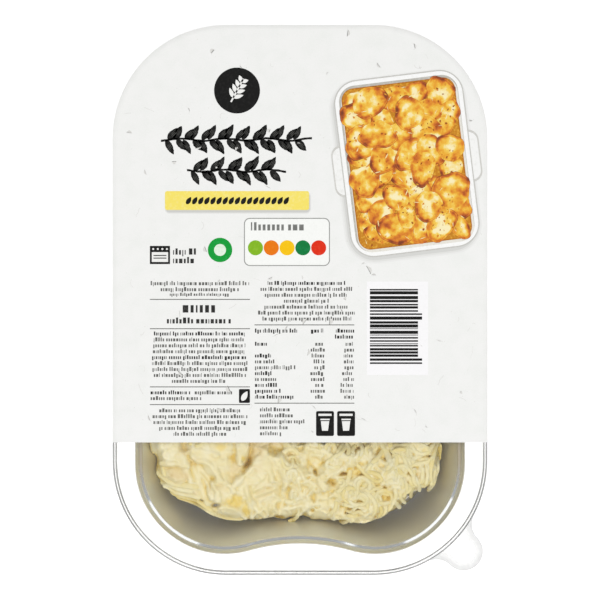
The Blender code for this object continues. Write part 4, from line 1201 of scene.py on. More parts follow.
def make_relief(draw):
    """Build up the gratin's top: heap, lobes, ribs under the sauce, creases, pits and colours."""
    relief = Relief()
    lay_hidden_slices(relief, draw)
    for numbers in LOBES:
        relief.lay_lobe(*numbers)
    relief.height = blurred(relief.height, 0.36 * MM)
    relief.height += 0.25 * MM * relief.noise(5, 33)
    wrinkles = 1 - np.abs(vnoise(relief.stray_x, relief.stray_y, 3.4 * MM, 34))
    relief.height += 0.5 * MM * wrinkles ** 4
    relief.round_edge()
    for route in scatter_strands(relief, draw, *BURIED_STRANDS):
        relief.lay_strand(route, draw.uniform(1.7, 2.3) * MM, 1.5 * MM, 0.4)
    for width, rise, *points in RIBS:
        relief.lay_strand(smooth_route(points) * MM, width * MM, rise * MM, 0.42, 0.9, True)
    for number, route in enumerate(scatter_shreds(relief, draw, *BURIED_SHREDS)):
        sizes = draw.uniform(1.0, 1.7) * MM, draw.uniform(0.8, 1.2) * MM, draw.uniform(0.1, 0.4)
        if route[0][0] > SAUCED_X or number % 3 == 0:
            relief.lay_strand(route, *sizes, 0.9, True)
    relief.height = blurred(relief.height, 0.22 * MM)
    for numbers in CREASES:
        relief.crease(*numbers)
    for numbers in PITS:
        relief.dig(*numbers)
    relief.height += 0.16 * MM * relief.noise(1.3, 36)
    for name, patches in PATCHES.items():
        for numbers in patches:
            relief.paint(name, *numbers)
    return relief


# Gratin: its sauced body and the cheese on it


def cell_edges(low, high, fine_end):
    """Mesh lines from low to high: evenly fine up to a place, then wider and wider."""
    places = list(np.arange(low, fine_end, MESH_CELL))
    step = MESH_CELL
    while places[-1] < high:
        step = min(HIDDEN_CELL, step * CELL_GROWTH)
        places.append(places[-1] + step)
    return np.array(places)


def grid_block(relief, field):
    """A closed block whose top is a field of heights."""
    xs = np.arange(relief.xs[0] + MM, relief.xs[-1] - MM, MESH_CELL)
    ys = cell_edges(relief.ys[0] + MM, relief.ys[-1] - MM, LABEL_END_Y + 2 * MM)
    x, y = np.meshgrid(xs, ys)
    top = np.clip(relief.read(field, x, y), 1.5 * MM, FOOD_CEILING)
    vertices = np.stack([x, y, top], axis=-1).reshape(-1, 3)
    number = np.arange(x.size).reshape(x.shape)
    quads = np.stack([number[:-1, :-1], number[:-1, 1:], number[1:, 1:], number[1:, :-1]],
                     axis=-1).reshape(-1, 4)
    border = np.concatenate([number[0, :], number[1:, -1], number[-1, -2::-1], number[-2:0:-1, 0]])
    low = vertices[border].copy()
    low[:, 2] = 0.2 * MM
    lower = len(vertices) + np.arange(len(border))
    sides = np.stack([border, lower, np.roll(lower, -1), np.roll(border, -1)], axis=-1)
    mesh = bpy.data.meshes.new("gratin_sauce")
    mesh.from_pydata(np.concatenate([vertices, low]).tolist(), [],
                     quads.tolist() + sides.tolist() + [lower[::-1].tolist()])
    return mesh


def ring_solid(name, rings_at):
    """A closed solid through rings of equal count, given as outlines and heights."""
    work = bmesh.new()
    rings = [add_ring(work, outline, z) for outline, z in rings_at]
    bridge(work, rings)
    work.faces.new(rings[0])
    work.faces.new(rings[-1])
    return make_piece(name, work, [])


def tray_space():
    """The room inside the foil, as a solid."""
    face = offset_section(wall_section(), -FOOD_GAP)
    return ring_solid("tray_space", [(opening_outline(inset), z) for inset, z in face])


def heap_flank():
    """The heap's outer form, as a solid: upright above its shoulder, drawing in below it."""
    bottom = WALL + FOOD_GAP
    spine = (HEAP_HALF_LENGTH - HEAP_HALF_WIDTH) / HEAP_HALF_LENGTH
    levels = [(TRAY_HEIGHT + MM, 1.0)]
    for i in range(FLANK_LEVELS + 1):
        height = HEAP_SHOULDER + (bottom - HEAP_SHOULDER) * i / FLANK_LEVELS
        rise = max(0.0, (height - bottom) / (HEAP_SHOULDER - bottom))
        levels.append((height, HEAP_FOOT + (1 - HEAP_FOOT) * rise ** FLANK_BULGE))
    outline = heap_outline()
    rings = []
    for height, share in levels:
        drawn_in = FLANK_STRAY * (1 - share) / (1 - HEAP_FOOT)
        ring = []
        for x, y in outline:
            x = HEAP_SHIFT_X + (x - HEAP_SHIFT_X) * share
            y = y * (spine + (1 - spine) * share)
            stray = drawn_in * float(vnoise(x + 2 * y, 3 * height, 6 * MM, 7))
            scale = 1 + stray / math.hypot(x, y)
            ring.append((x * scale, y * scale))
        rings.append((ring, height))
    return ring_solid("heap_flank", rings)


def make_sauce(relief, block):
    """The body of the gratin: potato and sauce, cut to fit the foil."""
    sauce = place_piece("gratin_sauce", block, [sauce_material()])
    limits = [tray_space(), heap_flank()]
    for limit in limits:
        fit = sauce.modifiers.new("fit " + limit.name, 'BOOLEAN')
        fit.operation = 'INTERSECT'
        fit.solver = 'MANIFOLD'
        fit.object = limit
    mesh = settle(sauce, 80)
    for limit in limits:
        bpy.data.objects.remove(limit)
    places = np.empty(3 * len(mesh.vertices))
    mesh.vertices.foreach_get("co", places)
    x, y, z = places.reshape(-1, 3).T
    # painted shade: hollows of the sauce are coloured deeper yellow by this share
    set_share(mesh, "hollow", relief.hollow(x, y, z))
    for name, field in relief.shares.items():
        set_share(mesh, name, relief.read(field, x, y))
    ride_as(sauce, "gratin", "gratin")


def tube_rings(route, heights, width, rise, draw):
    """Rings of a grated strand: a flat section with round edges, blunt at its torn ends."""
    centre = np.column_stack([route, heights])
    along = np.gradient(centre, axis=0)
    along /= np.linalg.norm(along, axis=1, keepdims=True)
    side = np.cross((0.0, 0.0, 1.0), along)
    side /= np.linalg.norm(side, axis=1, keepdims=True)
    up = np.cross(along, side)
    share = np.linspace(-1, 1, len(centre))
    taper = np.clip((1 - np.abs(share)) / 0.09, 0, 1) ** 0.5 * 0.45 + 0.55
    ripple = 1 + 0.08 * np.sin(share * draw.uniform(4, 9) + draw.uniform(0, 6))
    angles = np.arange(STRAND_SIDES) / STRAND_SIDES * math.tau + math.radians(18)
    flat_x, flat_y = (np.sign(wave) * np.abs(wave) ** 0.85 for wave in (np.cos(angles), np.sin(angles)))
    size = (taper * ripple)[:, None, None]
    return (centre[:, None] + size * (0.5 * width * flat_x[None, :, None] * side[:, None]
                                      + 0.5 * rise * flat_y[None, :, None] * up[:, None]))


def tube_faces(first, count):
    """Faces round and across the ends of a tube of rings, numbered from its first point."""
    faces = []
    for i in range(count - 1):
        a, b = first + i * STRAND_SIDES, first + (i + 1) * STRAND_SIDES
        for j in range(STRAND_SIDES):
            k = (j + 1) % STRAND_SIDES
            faces.append((a + j, a + k, b + k, b + j))
    faces.append(tuple(first + j for j in reversed(range(STRAND_SIDES))))
    faces.append(tuple(first + (count - 1) * STRAND_SIDES + j for j in range(STRAND_SIDES)))
    return faces


def make_strands(relief, draw):
    """Grated cheese on top of the gratin, as one mesh."""
    routes = []
    for strip, widths in ((TOP_STRANDS, (1.2, 2.2)), (LABELLED_STRANDS, (1.6, 2.3))):
        routes += [(route, draw.uniform(*widths) * MM) for route in scatter_strands(relief, draw, *strip)]
    routes += [(smooth_route(points, 0.8) * MM, width * MM) for width, *points in FREE_STRANDS]
    vertices, faces, tones = [], [], []
    for route, width in routes:
        rise = width * draw.uniform(0.5, 0.66)
        heights = relief.lay_strand(route, width, rise, draw.uniform(0.2, 0.5))
        heights = np.maximum(heights, relief.read(relief.wall, route[:, 0], route[:, 1]) + 0.6 * width)
        rings = tube_rings(route, heights, width, rise, draw)
        faces += tube_faces(len(vertices), len(rings))
        vertices += rings.reshape(-1, 3).tolist()
        tones += [draw.random() ** 2] * (len(rings) * STRAND_SIDES)
    mesh = bpy.data.meshes.new("cheese_strands")
    mesh.from_pydata(vertices, [], faces)
    set_share(mesh, "tone", tones)
    # painted shade: the strands' low flanks are coloured deeper yellow by this share
    set_share(mesh, "hollow", relief.hollow(*np.array(vertices).T))
    ride_as(place_piece("cheese_strands", mesh, [cheese_material()], 70), "gratin")


def make_gratin():
    draw = random.Random(SEED)
    relief = make_relief(draw)
    bare_top = relief.height.copy()
    make_strands(relief, draw)
    make_sauce(relief, grid_block(relief, relief.sauce_between(bare_top)))


# Print on the label: flat patches of ink, in mm on the label's face


# Inks, each where it lies thick and where it lies thin
INKS = {
    "pale hairs": ("#DFDEDA", "#E6E5E1"),
    "pale flecks": ("#E3E2DE", "#EAE9E6"),
    "small print": ("#646461", "#80807C"),
    "bold print": ("#2A2A29", "#454543"),
    "hairline rules": ("#5E5E5B", "#70706D"),
    "dry brush black": ("#0E0E0D", "#242423"),
    "bristle scratches": ("#4E4E4B", "#3A3A38"),
    "banner shade 1": ("#E6E6E3", "#E6E6E3"),
    "banner shade 2": ("#D2D2CE", "#D2D2CE"),
    "yellow banner": ("#FAE66D", "#FBEA86"),
    "spot black": ("#0F0F0E", "#1A1A19"),
    "white out": ("#F6F6F3", "#F1F1EE"),
    "panel frame": ("#9A9B98", "#A5A6A3"),
    "panel white": ("#FBFCF9", "#F8F9F6"),
    "caption grey": ("#777875", "#868784"),
    "dot 1": ("#84B91E", "#8FC02F"),
    "dot 2": ("#ED7804", "#EE8316"),
    "dot 3": ("#FBC601", "#FBCB1A"),
    "dot 4": ("#007B3B", "#10854A"),
    "dot 5": ("#E22D0D", "#E43C1E"),
    "green": ("#089D37", "#1DA548"),
    "pale green": ("#E9F5E6", "#DDEFDA"),
    "pictogram black": ("#0F0F0E", "#1C1C1B"),
    "pictogram white": ("#F4F4F1", "#EFEFEC"),
    "stripe panel white": ("#FCFBFC", "#FAF9FA"),
    "stripe black": ("#0C0C0B", "#141413"),
    "dish shadow 1": ("#EEEEEC", "#EEEEEC"),
    "dish shadow 2": ("#E6E6E3", "#E6E6E3"),
    "dish shadow 3": ("#D9D9D6", "#D9D9D6"),
    "handle edge": ("#D2D1CC", "#DAD9D4"),
    "handle": ("#F8F8F6", "#F1F1EE"),
    "dish shade": ("#C9C8C3", "#D2D1CC"),
    "dish rim": ("#FDFDFC", "#F8F8F6"),
    "dish wall": ("#BDBAB2", "#CBC8C0"),
    "dish wall light": ("#ECE9E0", "#E3E0D6"),
    "dish crust": ("#B4701A", "#CD8B30"),
    "dish sauce": ("#C98420", "#E2A63A"),
    "golden specks": ("#DB8A2A", "#E8A646"),
    "brown specks": ("#A04E18", "#B5652A"),
    "melted shreds": ("#FAE9B0", "#F8DF92"),
}


def rectangle(left, low, right, high):
    return [(left, low), (right, low), (right, high), (left, high)]


def soft_rectangle(left, low, right, high, radius, steps=6):
    """A rectangle with round corners."""
    points = []
    for x, y, start in ((right - radius, high - radius, 0), (left + radius, high - radius, 90),
                        (left + radius, low + radius, 180), (right - radius, low + radius, 270)):
        points += arc((x, y), radius, math.radians(start), math.radians(start + 90), steps)
    return points


def disc(x, y, radius, steps=40):
    return arc((x, y), radius, 0.0, math.tau * (1 - 1 / steps), steps - 1)


def turned(shape, degrees, x=0.0, y=0.0):
    """A shape turned about the origin, then moved."""
    c, s = math.cos(math.radians(degrees)), math.sin(math.radians(degrees))
    return [(x + px * c - py * s, y + px * s + py * c) for px, py in shape]


def leaf(length, width, draw, rough=0.0, steps=14):
    """A pointed leaf along +X from the origin, its edge as rough as a dry brush leaves it."""
    upper, lower = [], []
    for i in range(1, steps):
        share = i / steps
        half = 0.5 * width * math.sin(math.pi * share ** 0.8) ** 0.8
        for edge, side in ((upper, half), (lower, -half)):
            edge.append((length * share, side + rough * draw.uniform(-1, 1)))
    return [(0.0, 0.0)] + lower + [(length, 0.0)] + upper[::-1]


def print_patches(name, ink, shapes, layer):
    """Print shapes as one thin piece; a higher layer lies on a lower one."""
    work = bmesh.new()
    height = LABEL_HEIGHT + INK_LAYER * layer
    for shape in shapes:
        face = work.faces.new([work.verts.new((x * MM, y * MM, height)) for x, y in shape])
        if sum(x0 * y1 - x1 * y0 for (x0, y0), (x1, y1) in zip(shape, shape[1:] + shape[:1])) < 0:
            face.normal_flip()
    bmesh.ops.triangulate(work, faces=work.faces)
    piece = make_piece(name, work, [ink_material(ink)], recalculate=False)
    thicken(piece, 0.9 * INK_LAYER)
    ride_as(piece, "label")


# Paper fibres: how many hairs and flecks, and the part of the label that they lie on
HAIRS = 150
FLECKS = 220
PAPER = (73, -58, 110)       # half width, and from where to where along the pack
PAPER_ARCH = (30, 67, 44)    # middle and radius of its round corners


def paper_place(draw):
    """A place at random on the label."""
    half_width, low, high = PAPER
    middle_x, middle_y, radius = PAPER_ARCH
    while True:
        x, y = draw.uniform(-half_width, half_width), draw.uniform(low, high)
        if math.hypot(max(0, abs(x) - middle_x), max(0, y - middle_y)) <= radius:
            return x, y


def print_fibres():
    """Short pale hairs and flecks, as in recycled paper."""
    draw = random.Random(SEED + 7)
    hairs, flecks = [], []
    for _ in range(HAIRS):
        path = strand_path(*paper_place(draw), draw.uniform(0, 360), draw.uniform(1.5, 5.0),
                           draw.uniform(-150, 150), draw.uniform(-60, 60), 10) / MM
        along = np.gradient(path, axis=0)
        side = np.column_stack([-along[:, 1], along[:, 0]]) / np.linalg.norm(along, axis=1)[:, None]
        side *= draw.uniform(0.04, 0.09)
        hairs.append([tuple(p) for p in (*(path + side), *(path - side)[::-1])])
    for _ in range(FLECKS):
        x, y = paper_place(draw)
        size = draw.uniform(0.08, 0.24)
        flecks.append([(x + size * draw.uniform(0.6, 1.3) * math.cos(a),
                        y + size * draw.uniform(0.6, 1.3) * math.sin(a))
                       for a in (0.3, 1.6, 2.9, 4.2, 5.4)])
    print_patches("paper_hairs", "pale hairs", hairs, 0.5)
    print_patches("paper_flecks", "pale flecks", flecks, 0.5)


# Small print, in mm: its x-height and lines' pitch, then its blocks' widths as shares of the
# x-height and how many of them make a word
X_HEIGHT = 1.2
LINE_PITCH = 2.477
BLOCK_WIDTHS = (0.22, 0.42, 0.48, 0.52, 0.76)
WORD_LENGTHS = (2, 3, 5, 6, 7, 8, 9)

# Columns of small print: edge and middle of the left one, middle of the right one
LEFT_EDGE = -62.4
LEFT_MIDDLE = -41.8
RIGHT_MIDDLE = 2.9
TITLE_LINES = (              # middle height, half width and x-height
    (6.8, 20.6, 1.25), (4.3, 16.4, 1.25), (2.2, 12.6, 0.95), (-3.7, 7.2, 3.1), (-8.9, 13.8, 1.8),
)
TABLE_EDGE = -18.8
TABLE_ROWS = 10
TABLE_HEADS = ((-13.0, TABLE_EDGE, -1.0), (-13.0, 4.6, 10.4), (-13.0, 15.0, 22.7), (-15.5, 14.6, 22.7))
VALUE_COLUMNS = ((10.4, 4.6), (22.7, 4.4))     # right edge and usual width
# Hairline rules: left and right end, then their heights
RULES = ((-62.7, -20.9, (0.25, -12.0, -36.3, -43.7)), (-19.0, 22.7, (-10.4, -43.1)))
HALF_RULE = 0.17


def small_print(draw, shapes, middle, left, right, x_height=X_HEIGHT, ragged=0.0):
    """One line of small print: upright blocks with gaps between words, and even or ragged ends."""
    x = left + ragged * draw.random()
    right -= ragged * draw.random()
    low = middle - 0.5 * x_height
    while x < right:
        for _ in range(draw.choice(WORD_LENGTHS)):
            width = x_height * draw.choice(BLOCK_WIDTHS)
            if x + width > right:
                break
            tall = draw.random()
            high = low + x_height * (1.38 if tall < 0.22 else 1.0)
            foot = low - x_height * (0.36 if tall > 0.9 else 0.0)
            shapes.append(rectangle(x, foot, x + width, high))
            x += width + 0.3 * x_height
        x += 0.42 * x_height


def print_small_text():
    """Small print in two columns, a table, and the hairline rules between them."""
    draw = random.Random(SEED + 1)
    plain, bold = [], []

    def centred(centre, top, pitch, halves, bold_rows=()):
        for row, half in enumerate(halves):
            small_print(draw, bold if row in bold_rows else plain,
                        top - pitch * row, centre - half, centre + half)

    for middle, half, x_height in TITLE_LINES:
        small_print(draw, bold if x_height > 1.5 else plain, middle,
                    LEFT_MIDDLE - half, LEFT_MIDDLE + half, x_height)
    halves = (20.2 - (8.5 if row == 8 else draw.uniform(0, 1.2)) for row in range(9))
    centred(LEFT_MIDDLE, -14.2, LINE_PITCH, halves, (0, 4))
    small_print(draw, bold, -38.8, LEFT_EDGE, -45.0)
    small_print(draw, plain, -38.8, -44.0, -27.5)
    small_print(draw, plain, -41.2, LEFT_EDGE, -40.5)
    centred(LEFT_MIDDLE, -46.3, 2.45, (17.0, 19.8, 19.4, 17.0, 11.0))
    centred(RIGHT_MIDDLE, 6.9, LINE_PITCH, (16.4, 19.4, 17.6, 9.6, 17.8, 20.4, 18.6), (0,))
    for middle, left, right in TABLE_HEADS:
        small_print(draw, bold, middle, left, right, 1.25)
    for row in range(TABLE_ROWS):
        middle = -18.5 - 2.456 * row
        if row != 1:
            small_print(draw, plain if row in (3, 4, 6) else bold, middle,
                        TABLE_EDGE, TABLE_EDGE + draw.uniform(5.5, 19.0))
        for right, width in VALUE_COLUMNS:
            small_print(draw, plain, middle, right - width * draw.uniform(0.8, 1.35), right)
    for row, width in enumerate((12.5, 14.5, 18.8, 11.5, 9.8)):
        small_print(draw, plain, -45.9 - 2.5 * row, -16.7, -16.7 + width)
    small_print(draw, bold, 19.9, -53.0, -42.6, 1.9)
    small_print(draw, bold, 16.3, -53.0, -42.8, 1.9)
    rules = [rectangle(left, y - HALF_RULE, right, y + HALF_RULE)
             for left, right, heights in RULES for y in heights]
    print_patches("small_print", "small print", plain, 1)
    print_patches("bold_print", "bold print", bold, 1)
    print_patches("rules", "hairline rules", rules, 1)


# Garlands: left and right end and middle height of each, then the height and pitch of the leaves
GARLANDS = ((-58.1, 5.0, 67.0), (-47.2, -5.8, 54.0))
GARLAND_HEIGHT = 12.2
LEAF_PITCH = 3.55


def garland(draw, left, right, middle):
    """A leafy garland in dry brush strokes, with the pale scratches that the bristles leave."""
    stem = [(x, middle - 0.45 + 0.5 * math.sin(x * 0.35) + draw.uniform(-0.1, 0.1))
            for x in np.linspace(left, right, 40)]
    strokes = [stem + [(x, y + 0.9 + draw.uniform(-0.1, 0.1)) for x, y in stem][::-1]]
    scratches = []
    for i in range(int((right - left - 3) / LEAF_PITCH)):
        side = 1 if i % 2 else -1
        x = left + 2.0 + LEAF_PITCH * i + draw.uniform(-0.25, 0.25)
        for offset, steep, reach in ((0.0, 62, 1.0), (0.76, 46, 0.8)):
            length = 0.5 * GARLAND_HEIGHT * reach * draw.uniform(0.92, 1.06)
            length /= math.sin(math.radians(steep))
            place = (side * steep, x + offset, middle)
            strokes.append(turned(leaf(length, 3.0 * draw.uniform(0.85, 1.1), draw, 0.11), *place))
            for row in (-0.55, 0.0, 0.55):
                scratch = leaf(length * draw.uniform(0.3, 0.5), 0.3, draw, 0.03, 6)
                scratch = [(px + length * draw.uniform(0.25, 0.4), py + row) for px, py in scratch]
                scratches.append(turned(scratch, *place))
            side = -side
    return strokes, scratches


def print_title_place():
    """Two garlands and a banner where a title goes."""
    draw = random.Random(SEED + 2)
    strokes, scratches, marks = [], [], []
    for numbers in GARLANDS:
        found = garland(draw, *numbers)
        strokes += found[0]
        scratches += found[1]
    print_patches("brush_garlands", "dry brush black", strokes, 1)
    print_patches("bristle_scratches", "bristle scratches", scratches, 2)
    for i, grow in enumerate((0.9, 0.45)):
        shade = soft_rectangle(-55.6 - grow, 37.0 - grow, 3.7 + grow, 44.2 + grow, 1.1 + grow)
        print_patches("banner_shade_%d" % (i + 1), "banner shade %d" % (i + 1), [shade], 0.55 + 0.2 * i)
    print_patches("banner", "yellow banner", [soft_rectangle(-56.4, 37.6, 3.8, 45.5, 0.9)], 1)
    x = -47.4
    while x < -6.0:
        marks.append(turned(leaf(3.6, 1.9, draw, 0.03), 58, x, 40.0))
        x += 2.55
    print_patches("banner_leaves", "dry brush black", marks, 2)


SPOT = (-26.3, 87.5)
SPRIG_TURN = 62


def print_round_mark():
    """A plain black spot with a white sprig."""
    draw = random.Random(SEED + 3)
    print_patches("round_spot", "spot black", [disc(*SPOT, 9.6, 64)], 1)
    sprig = [turned(rectangle(-5.4, -0.35, 5.6, 0.35), SPRIG_TURN, *SPOT)]
    for i in range(4):
        ((x, y),) = turned([(2.5 * i - 3.4, 0.0)], SPRIG_TURN, *SPOT)
        for side in (-48, 48):
            sprig.append(turned(leaf(4.4 - 0.5 * i, 1.7, draw), SPRIG_TURN + side, x, y))
    print_patches("round_spot_sprig", "white out", sprig, 2)


BOX_LEFTS = (6.7, 15.5)


def print_small_marks():
    """Panel of colour dots, green spot, oven sign and the black boxes."""
    draw = random.Random(SEED + 4)
    print_patches("dot_panel_frame", "panel frame", [soft_rectangle(-23.4, 14.2, 12.5, 34.3, 2.4)], 1)
    print_patches("dot_panel", "panel white", [soft_rectangle(-23.0, 14.6, 12.1, 33.9, 2.1)], 2)
    caption = []
    small_print(draw, caption, 30.3, -20.5, 3.3, 2.5)
    print_patches("dot_caption", "caption grey", caption, 3)
    for i in range(5):
        dot = disc(6.6 * i - 18.6, 21.8, 3.15)
        print_patches("colour_dot_%d" % (i + 1), "dot %d" % (i + 1), [dot], 3)
    print_patches("green_spot", "green", [disc(-33.4, 20.9, 5.1, 48)], 1)
    print_patches("green_spot_middle", "pale green", [disc(-33.4, 20.9, 2.5, 40)], 2)
    black = [rectangle(-62.7, 15.0, -54.3, 22.6)]
    black += [soft_rectangle(x, -56.8, x + 7.5, -46.4, 0.7) for x in BOX_LEFTS]
    black.append(soft_rectangle(-25.5, -43.0, -20.9, -37.2, 0.5))
    print_patches("pictograms", "pictogram black", black, 1)
    pale = [rectangle(-61.9, 15.9, -55.1, 20.0)]
    pale += [disc(1.9 * i - 61.3, 21.3, 0.42, 12) for i in range(4)]
    for x in BOX_LEFTS:
        pale.append([(x + 2.5, -54.6), (x + 5.0, -54.6), (x + 5.5, -50.6), (x + 2.0, -50.6)])
        pale.append(rectangle(x + 1.8, -50.2, x + 5.7, -49.6))
        pale.append(rectangle(x + 1.0, -48.4, x + 6.5, -47.5))
    pale.append(turned(leaf(4.6, 2.3, draw), 60, -24.3, -42.1))
    print_patches("pictogram_cuts", "pictogram white", pale, 2)
    bars = [rectangle(-61.2, y, -55.8, y + 0.4) for y in (17.3, 18.4)]
    print_patches("oven_bars", "pictogram black", bars, 3)


# Panel of stripes: thinnest stripe, where the stripes start and end, and which reach further
STRIPE_UNIT = 0.33
STRIPES_FROM = -26.7
STRIPES_TO = 4.6
LONG_STRIPES = (0, 1, 14, 15, 28, 29)


def print_bars():
    """A panel of plain stripes."""
    draw = random.Random(SEED + 5)
    print_patches("stripe_panel", "stripe panel white", [rectangle(28.0, -31.3, 53.5, 7.7)], 1)
    bars = []
    y = STRIPES_FROM
    while y < STRIPES_TO - 0.2:
        thick = STRIPE_UNIT * draw.choice((1, 2, 2, 3, 4))
        right = 51.0 if len(bars) in LONG_STRIPES else 49.3
        bars.append(rectangle(29.2, y, right, min(y + thick, STRIPES_TO)))
        y += thick + STRIPE_UNIT * draw.choice((1, 1, 2, 2))
    print_patches("stripes", "stripe black", bars, 2)


# Pictured dish: turn and middle, half sizes, and the grid of its slices
DISH_PLACE = (7.0, 44.6, 57.0)
DISH_HALF = (26.2, 36.2)
SLICE_GRID = (8, 5)
SLICE_PITCH = (9.2, 8.0)
SLICE_STAGGER = 1.9
SLICE_STEPS = 32
# How browned a pictured slice is, from its middle out to the shadow round it: share of its
# radius and browning
SLICE_BROWNING = ((0.0, -0.25), (0.5, -0.1), (0.8, 0.35), (0.93, 0.85), (1.0, 0.55), (1.05, 1.3))
# Specks on the slices: piece, ink, how many, shortest and longest, and width as a share of length
SPECKS = (
    ("dish_golden_specks", "golden specks", 130, 0.5, 1.6, 0.5),
    ("dish_brown_specks", "brown specks", 110, 0.3, 1.2, 0.5),
    ("dish_cheese_shreds", "melted shreds", 46, 1.6, 3.4, 0.14),
)


def dish_shape(grow, radius, shift=(0.0, 0.0)):
    """The dish's outline, larger or smaller, turned and set in its place."""
    x, y = DISH_HALF[0] + grow, DISH_HALF[1] + grow
    shape = turned(soft_rectangle(-x, -y, x, y, radius + grow, 12), *DISH_PLACE)
    return turned(shape, 0, *shift)


def handle_shape(half_width, half_length, radius):
    shape = soft_rectangle(-half_width, -half_length, half_width, half_length, radius, 10)
    return turned(shape, *DISH_PLACE)


def print_dish():
    """A white baking dish of golden slices, as a plain drawing."""
    draw = random.Random(SEED + 6)
    layers = [("dish_shadow_%d" % (i + 1), "dish shadow %d" % (i + 1), dish_shape(grow, 10.0, (-0.5, -1.2)))
              for i, grow in enumerate((2.6, 1.9, 1.2))]
    layers += [("dish_handle_edge", "handle edge", handle_shape(31.0, 11.0, 4.5)),
               ("dish_handle", "handle", handle_shape(30.4, 10.0, 3.8)),
               ("dish_shade", "dish shade", dish_shape(1.0, 9.0)),
               ("dish_rim", "dish rim", dish_shape(0.5, 9.0)),
               ("dish_wall", "dish wall", dish_shape(-1.2, 8.0)),
               ("dish_wall_light", "dish wall light", dish_shape(-1.7, 8.0, (0.4, -0.6))),
               ("dish_crust", "dish crust", dish_shape(-2.3, 7.5)),
               ("dish_sauce", "dish sauce", dish_shape(-2.8, 7.0))]
    for level, (name, ink, shape) in enumerate(layers, 1):
        print_patches(name, ink, [shape], level)
    print_dish_specks(draw, print_dish_slices(draw, 1 + len(layers)))


def dish_places(draw, count, half_x, half_y, apart):
    """Places in the dish, in groups, as browning comes in patches, but none on another."""
    places = []
    while len(places) < count:
        x, y = draw.uniform(-half_x, half_x), draw.uniform(-half_y, half_y)
        for _ in range(draw.randint(3, 9)):
            px, py = x + draw.gauss(0, 2.0), y + draw.gauss(0, 2.0)
            crowded = any(math.hypot(px - qx, py - qy) < apart for qx, qy in places)
            if abs(px) < half_x and abs(py) < half_y and not crowded:
                places.append((px, py))
    return turned(places, *DISH_PLACE)


def print_dish_specks(draw, level):
    """Toasted specks and melted shreds of cheese over the slices."""
    for number, (name, ink, count, low, high, plump) in enumerate(SPECKS):
        specks = []
        for x, y in dish_places(draw, count, DISH_HALF[0] - 3.8, DISH_HALF[1] - 3.8, 1.2 * high):
            length = draw.uniform(low, high)
            width = length * plump * draw.uniform(0.6, 1.4)
            shape = leaf(length, width, draw, 0.2 * width, 6)
            specks.append(turned(shape, draw.uniform(0, 360), x, y))
        print_patches(name, ink, specks, level + number)


def slice_outline(share, bite, wobble):
    """A pictured slice's uneven outline at a share of its radius: angles and reaches."""
    angles = [math.tau * i / SLICE_STEPS for i in range(SLICE_STEPS if share else 1)]
    return [(a, share * (1 + bite * math.sin(3 * a + wobble) + 0.5 * bite * math.sin(7 * a + 2 * wobble)))
            for a in angles]


def print_dish_slices(draw, level):
    """Baked slices, each over some neighbours and under others; returns the next free layer."""
    rows, columns = SLICE_GRID
    half_x, half_y = DISH_HALF[0] - 2.8, DISH_HALF[1] - 2.8
    cells = [(row, column) for row in range(rows) for column in range(columns)]
    draw.shuffle(cells)
    vertices, faces, edges, tones = [], [], [], []
    for order, (row, column) in enumerate(cells):
        radius = draw.uniform(5.4, 7.8)
        squash, spin = draw.uniform(0.6, 1.0), draw.uniform(0, 180)
        stagger = SLICE_STAGGER if row % 2 else -SLICE_STAGGER
        x = (column - 0.5 * (columns - 1)) * SLICE_PITCH[0] + stagger + draw.uniform(-1.6, 1.6)
        y = (0.5 * (rows - 1) - row) * SLICE_PITCH[1] + draw.uniform(-1.6, 1.6)
        room_x, room_y = half_x - 0.8 * radius, half_y - 0.8 * radius
        x, y = min(room_x, max(-room_x, x)), min(room_y, max(-room_y, y))
        wobble, bite = draw.uniform(0, math.tau), draw.uniform(0.02, 0.09)
        low = LABEL_HEIGHT + INK_LAYER * (level + 0.25 * order)
        first = len(vertices)
        for share, browning in SLICE_BROWNING:
            outline = slice_outline(share, bite, wobble)
            shape = [(radius * reach * math.cos(a), radius * reach * math.sin(a) * squash)
                     for a, reach in outline]
            vertices += [(gx * MM, gy * MM, low)
                         for gx, gy in turned(turned(shape, spin, x, y), *DISH_PLACE)]
            edges += [browning * (0.55 + 0.45 * math.sin(a + wobble)) for a, _ in outline]
        tones += [0.37 * order] * (len(vertices) - first)
        rings = [first + 1 + k * SLICE_STEPS for k in range(len(SLICE_BROWNING) - 1)]
        for i in range(SLICE_STEPS):
            j = (i + 1) % SLICE_STEPS
            faces.append((first, rings[0] + i, rings[0] + j))
            for inner, outer in zip(rings, rings[1:]):
                faces.append((inner + i, outer + i, outer + j, inner + j))
    mesh = bpy.data.meshes.new("dish_slices")
    mesh.from_pydata(vertices, [], faces)
    set_share(mesh, "edge", edges)
    set_share(mesh, "tone", tones)
    slices = place_piece("dish_slices", mesh, [baked_print_material()])
    thicken(slices, 0.2 * INK_LAYER)
    ride_as(slices, "label")
    return level + 0.25 * len(cells) + 1


# Floor, light and camera


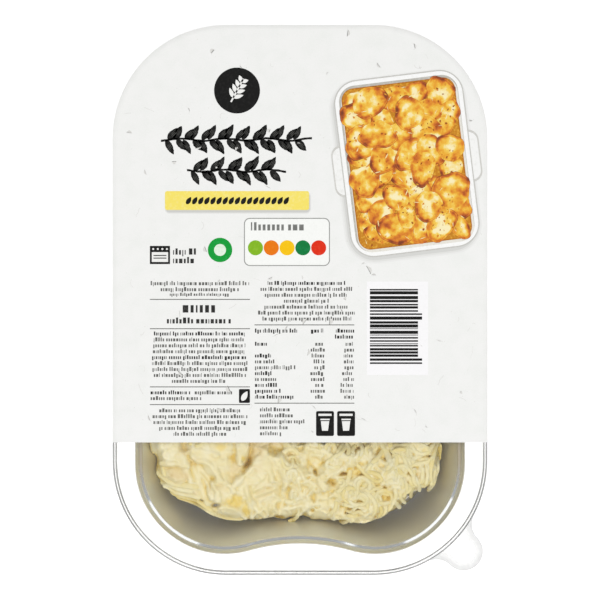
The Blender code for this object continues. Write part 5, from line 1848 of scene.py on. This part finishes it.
def make_floor():
    work = bmesh.new()
    corners = rectangle(-FLOOR_REACH, -FLOOR_REACH, FLOOR_REACH, FLOOR_REACH)
    work.faces.new(add_ring(work, corners, 0.0))
    floor = make_piece("floor", work, [floor_material()])


def make_world():
    """A dim, even studio round the lights."""
    world = bpy.data.worlds.new("studio")
    bpy.context.scene.world = world
    world.use_nodes = True
    fill(world.node_tree.nodes["Background"], Color="#FFFFFF", Strength=STUDIO_GLOW)


def make_softbox(name, azimuth, elevation, distance, width, height, radiance):
    """A softbox that looks at the pack from a direction, in degrees."""
    light = bpy.data.lights.new(name, 'AREA')
    light.shape = 'RECTANGLE'
    light.size = width
    light.size_y = height
    light.energy = radiance * math.pi * width * height
    lamp = bpy.data.objects.new(name, light)
    azimuth, elevation = math.radians(azimuth), math.radians(elevation)
    flat = distance * math.cos(elevation)
    lamp.location = (flat * math.cos(azimuth), flat * math.sin(azimuth), distance * math.sin(elevation))
    lamp.rotation_euler = (-lamp.location).to_track_quat('-Z', 'Y').to_euler()
    bpy.context.scene.collection.objects.link(lamp)


def make_camera():
    camera = bpy.data.cameras.new("camera")
    camera.sensor_width = SENSOR
    camera.lens = SENSOR * CAMERA_DISTANCE / (PHOTO_SIDE * MM_PER_PIXEL * MM)
    camera.clip_end = 20.0
    holder = bpy.data.objects.new("camera", camera)
    holder.location = (0.0, 0.0, LABEL_HEIGHT + CAMERA_DISTANCE)
    bpy.context.scene.collection.objects.link(holder)
    bpy.context.scene.camera = holder


make_camera()
make_world()
for name, numbers in SOFTBOXES.items():
    make_softbox(name, *numbers)
make_floor()
make_tray()
make_gratin()
make_sheet("clear_film", pack_outline, FILM_HEIGHT, FILM_THICKNESS, film_material(), "lid_film")
make_tab()
make_sheet("label_sheet", label_arch, LABEL_HEIGHT, LABEL_THICKNESS, label_material(), "label",
           closed=False)
print_fibres()
print_small_text()
print_title_place()
print_round_mark()
print_small_marks()
print_bars()
print_dish()
bpy.context.scene.view_settings.view_transform = 'Standard'
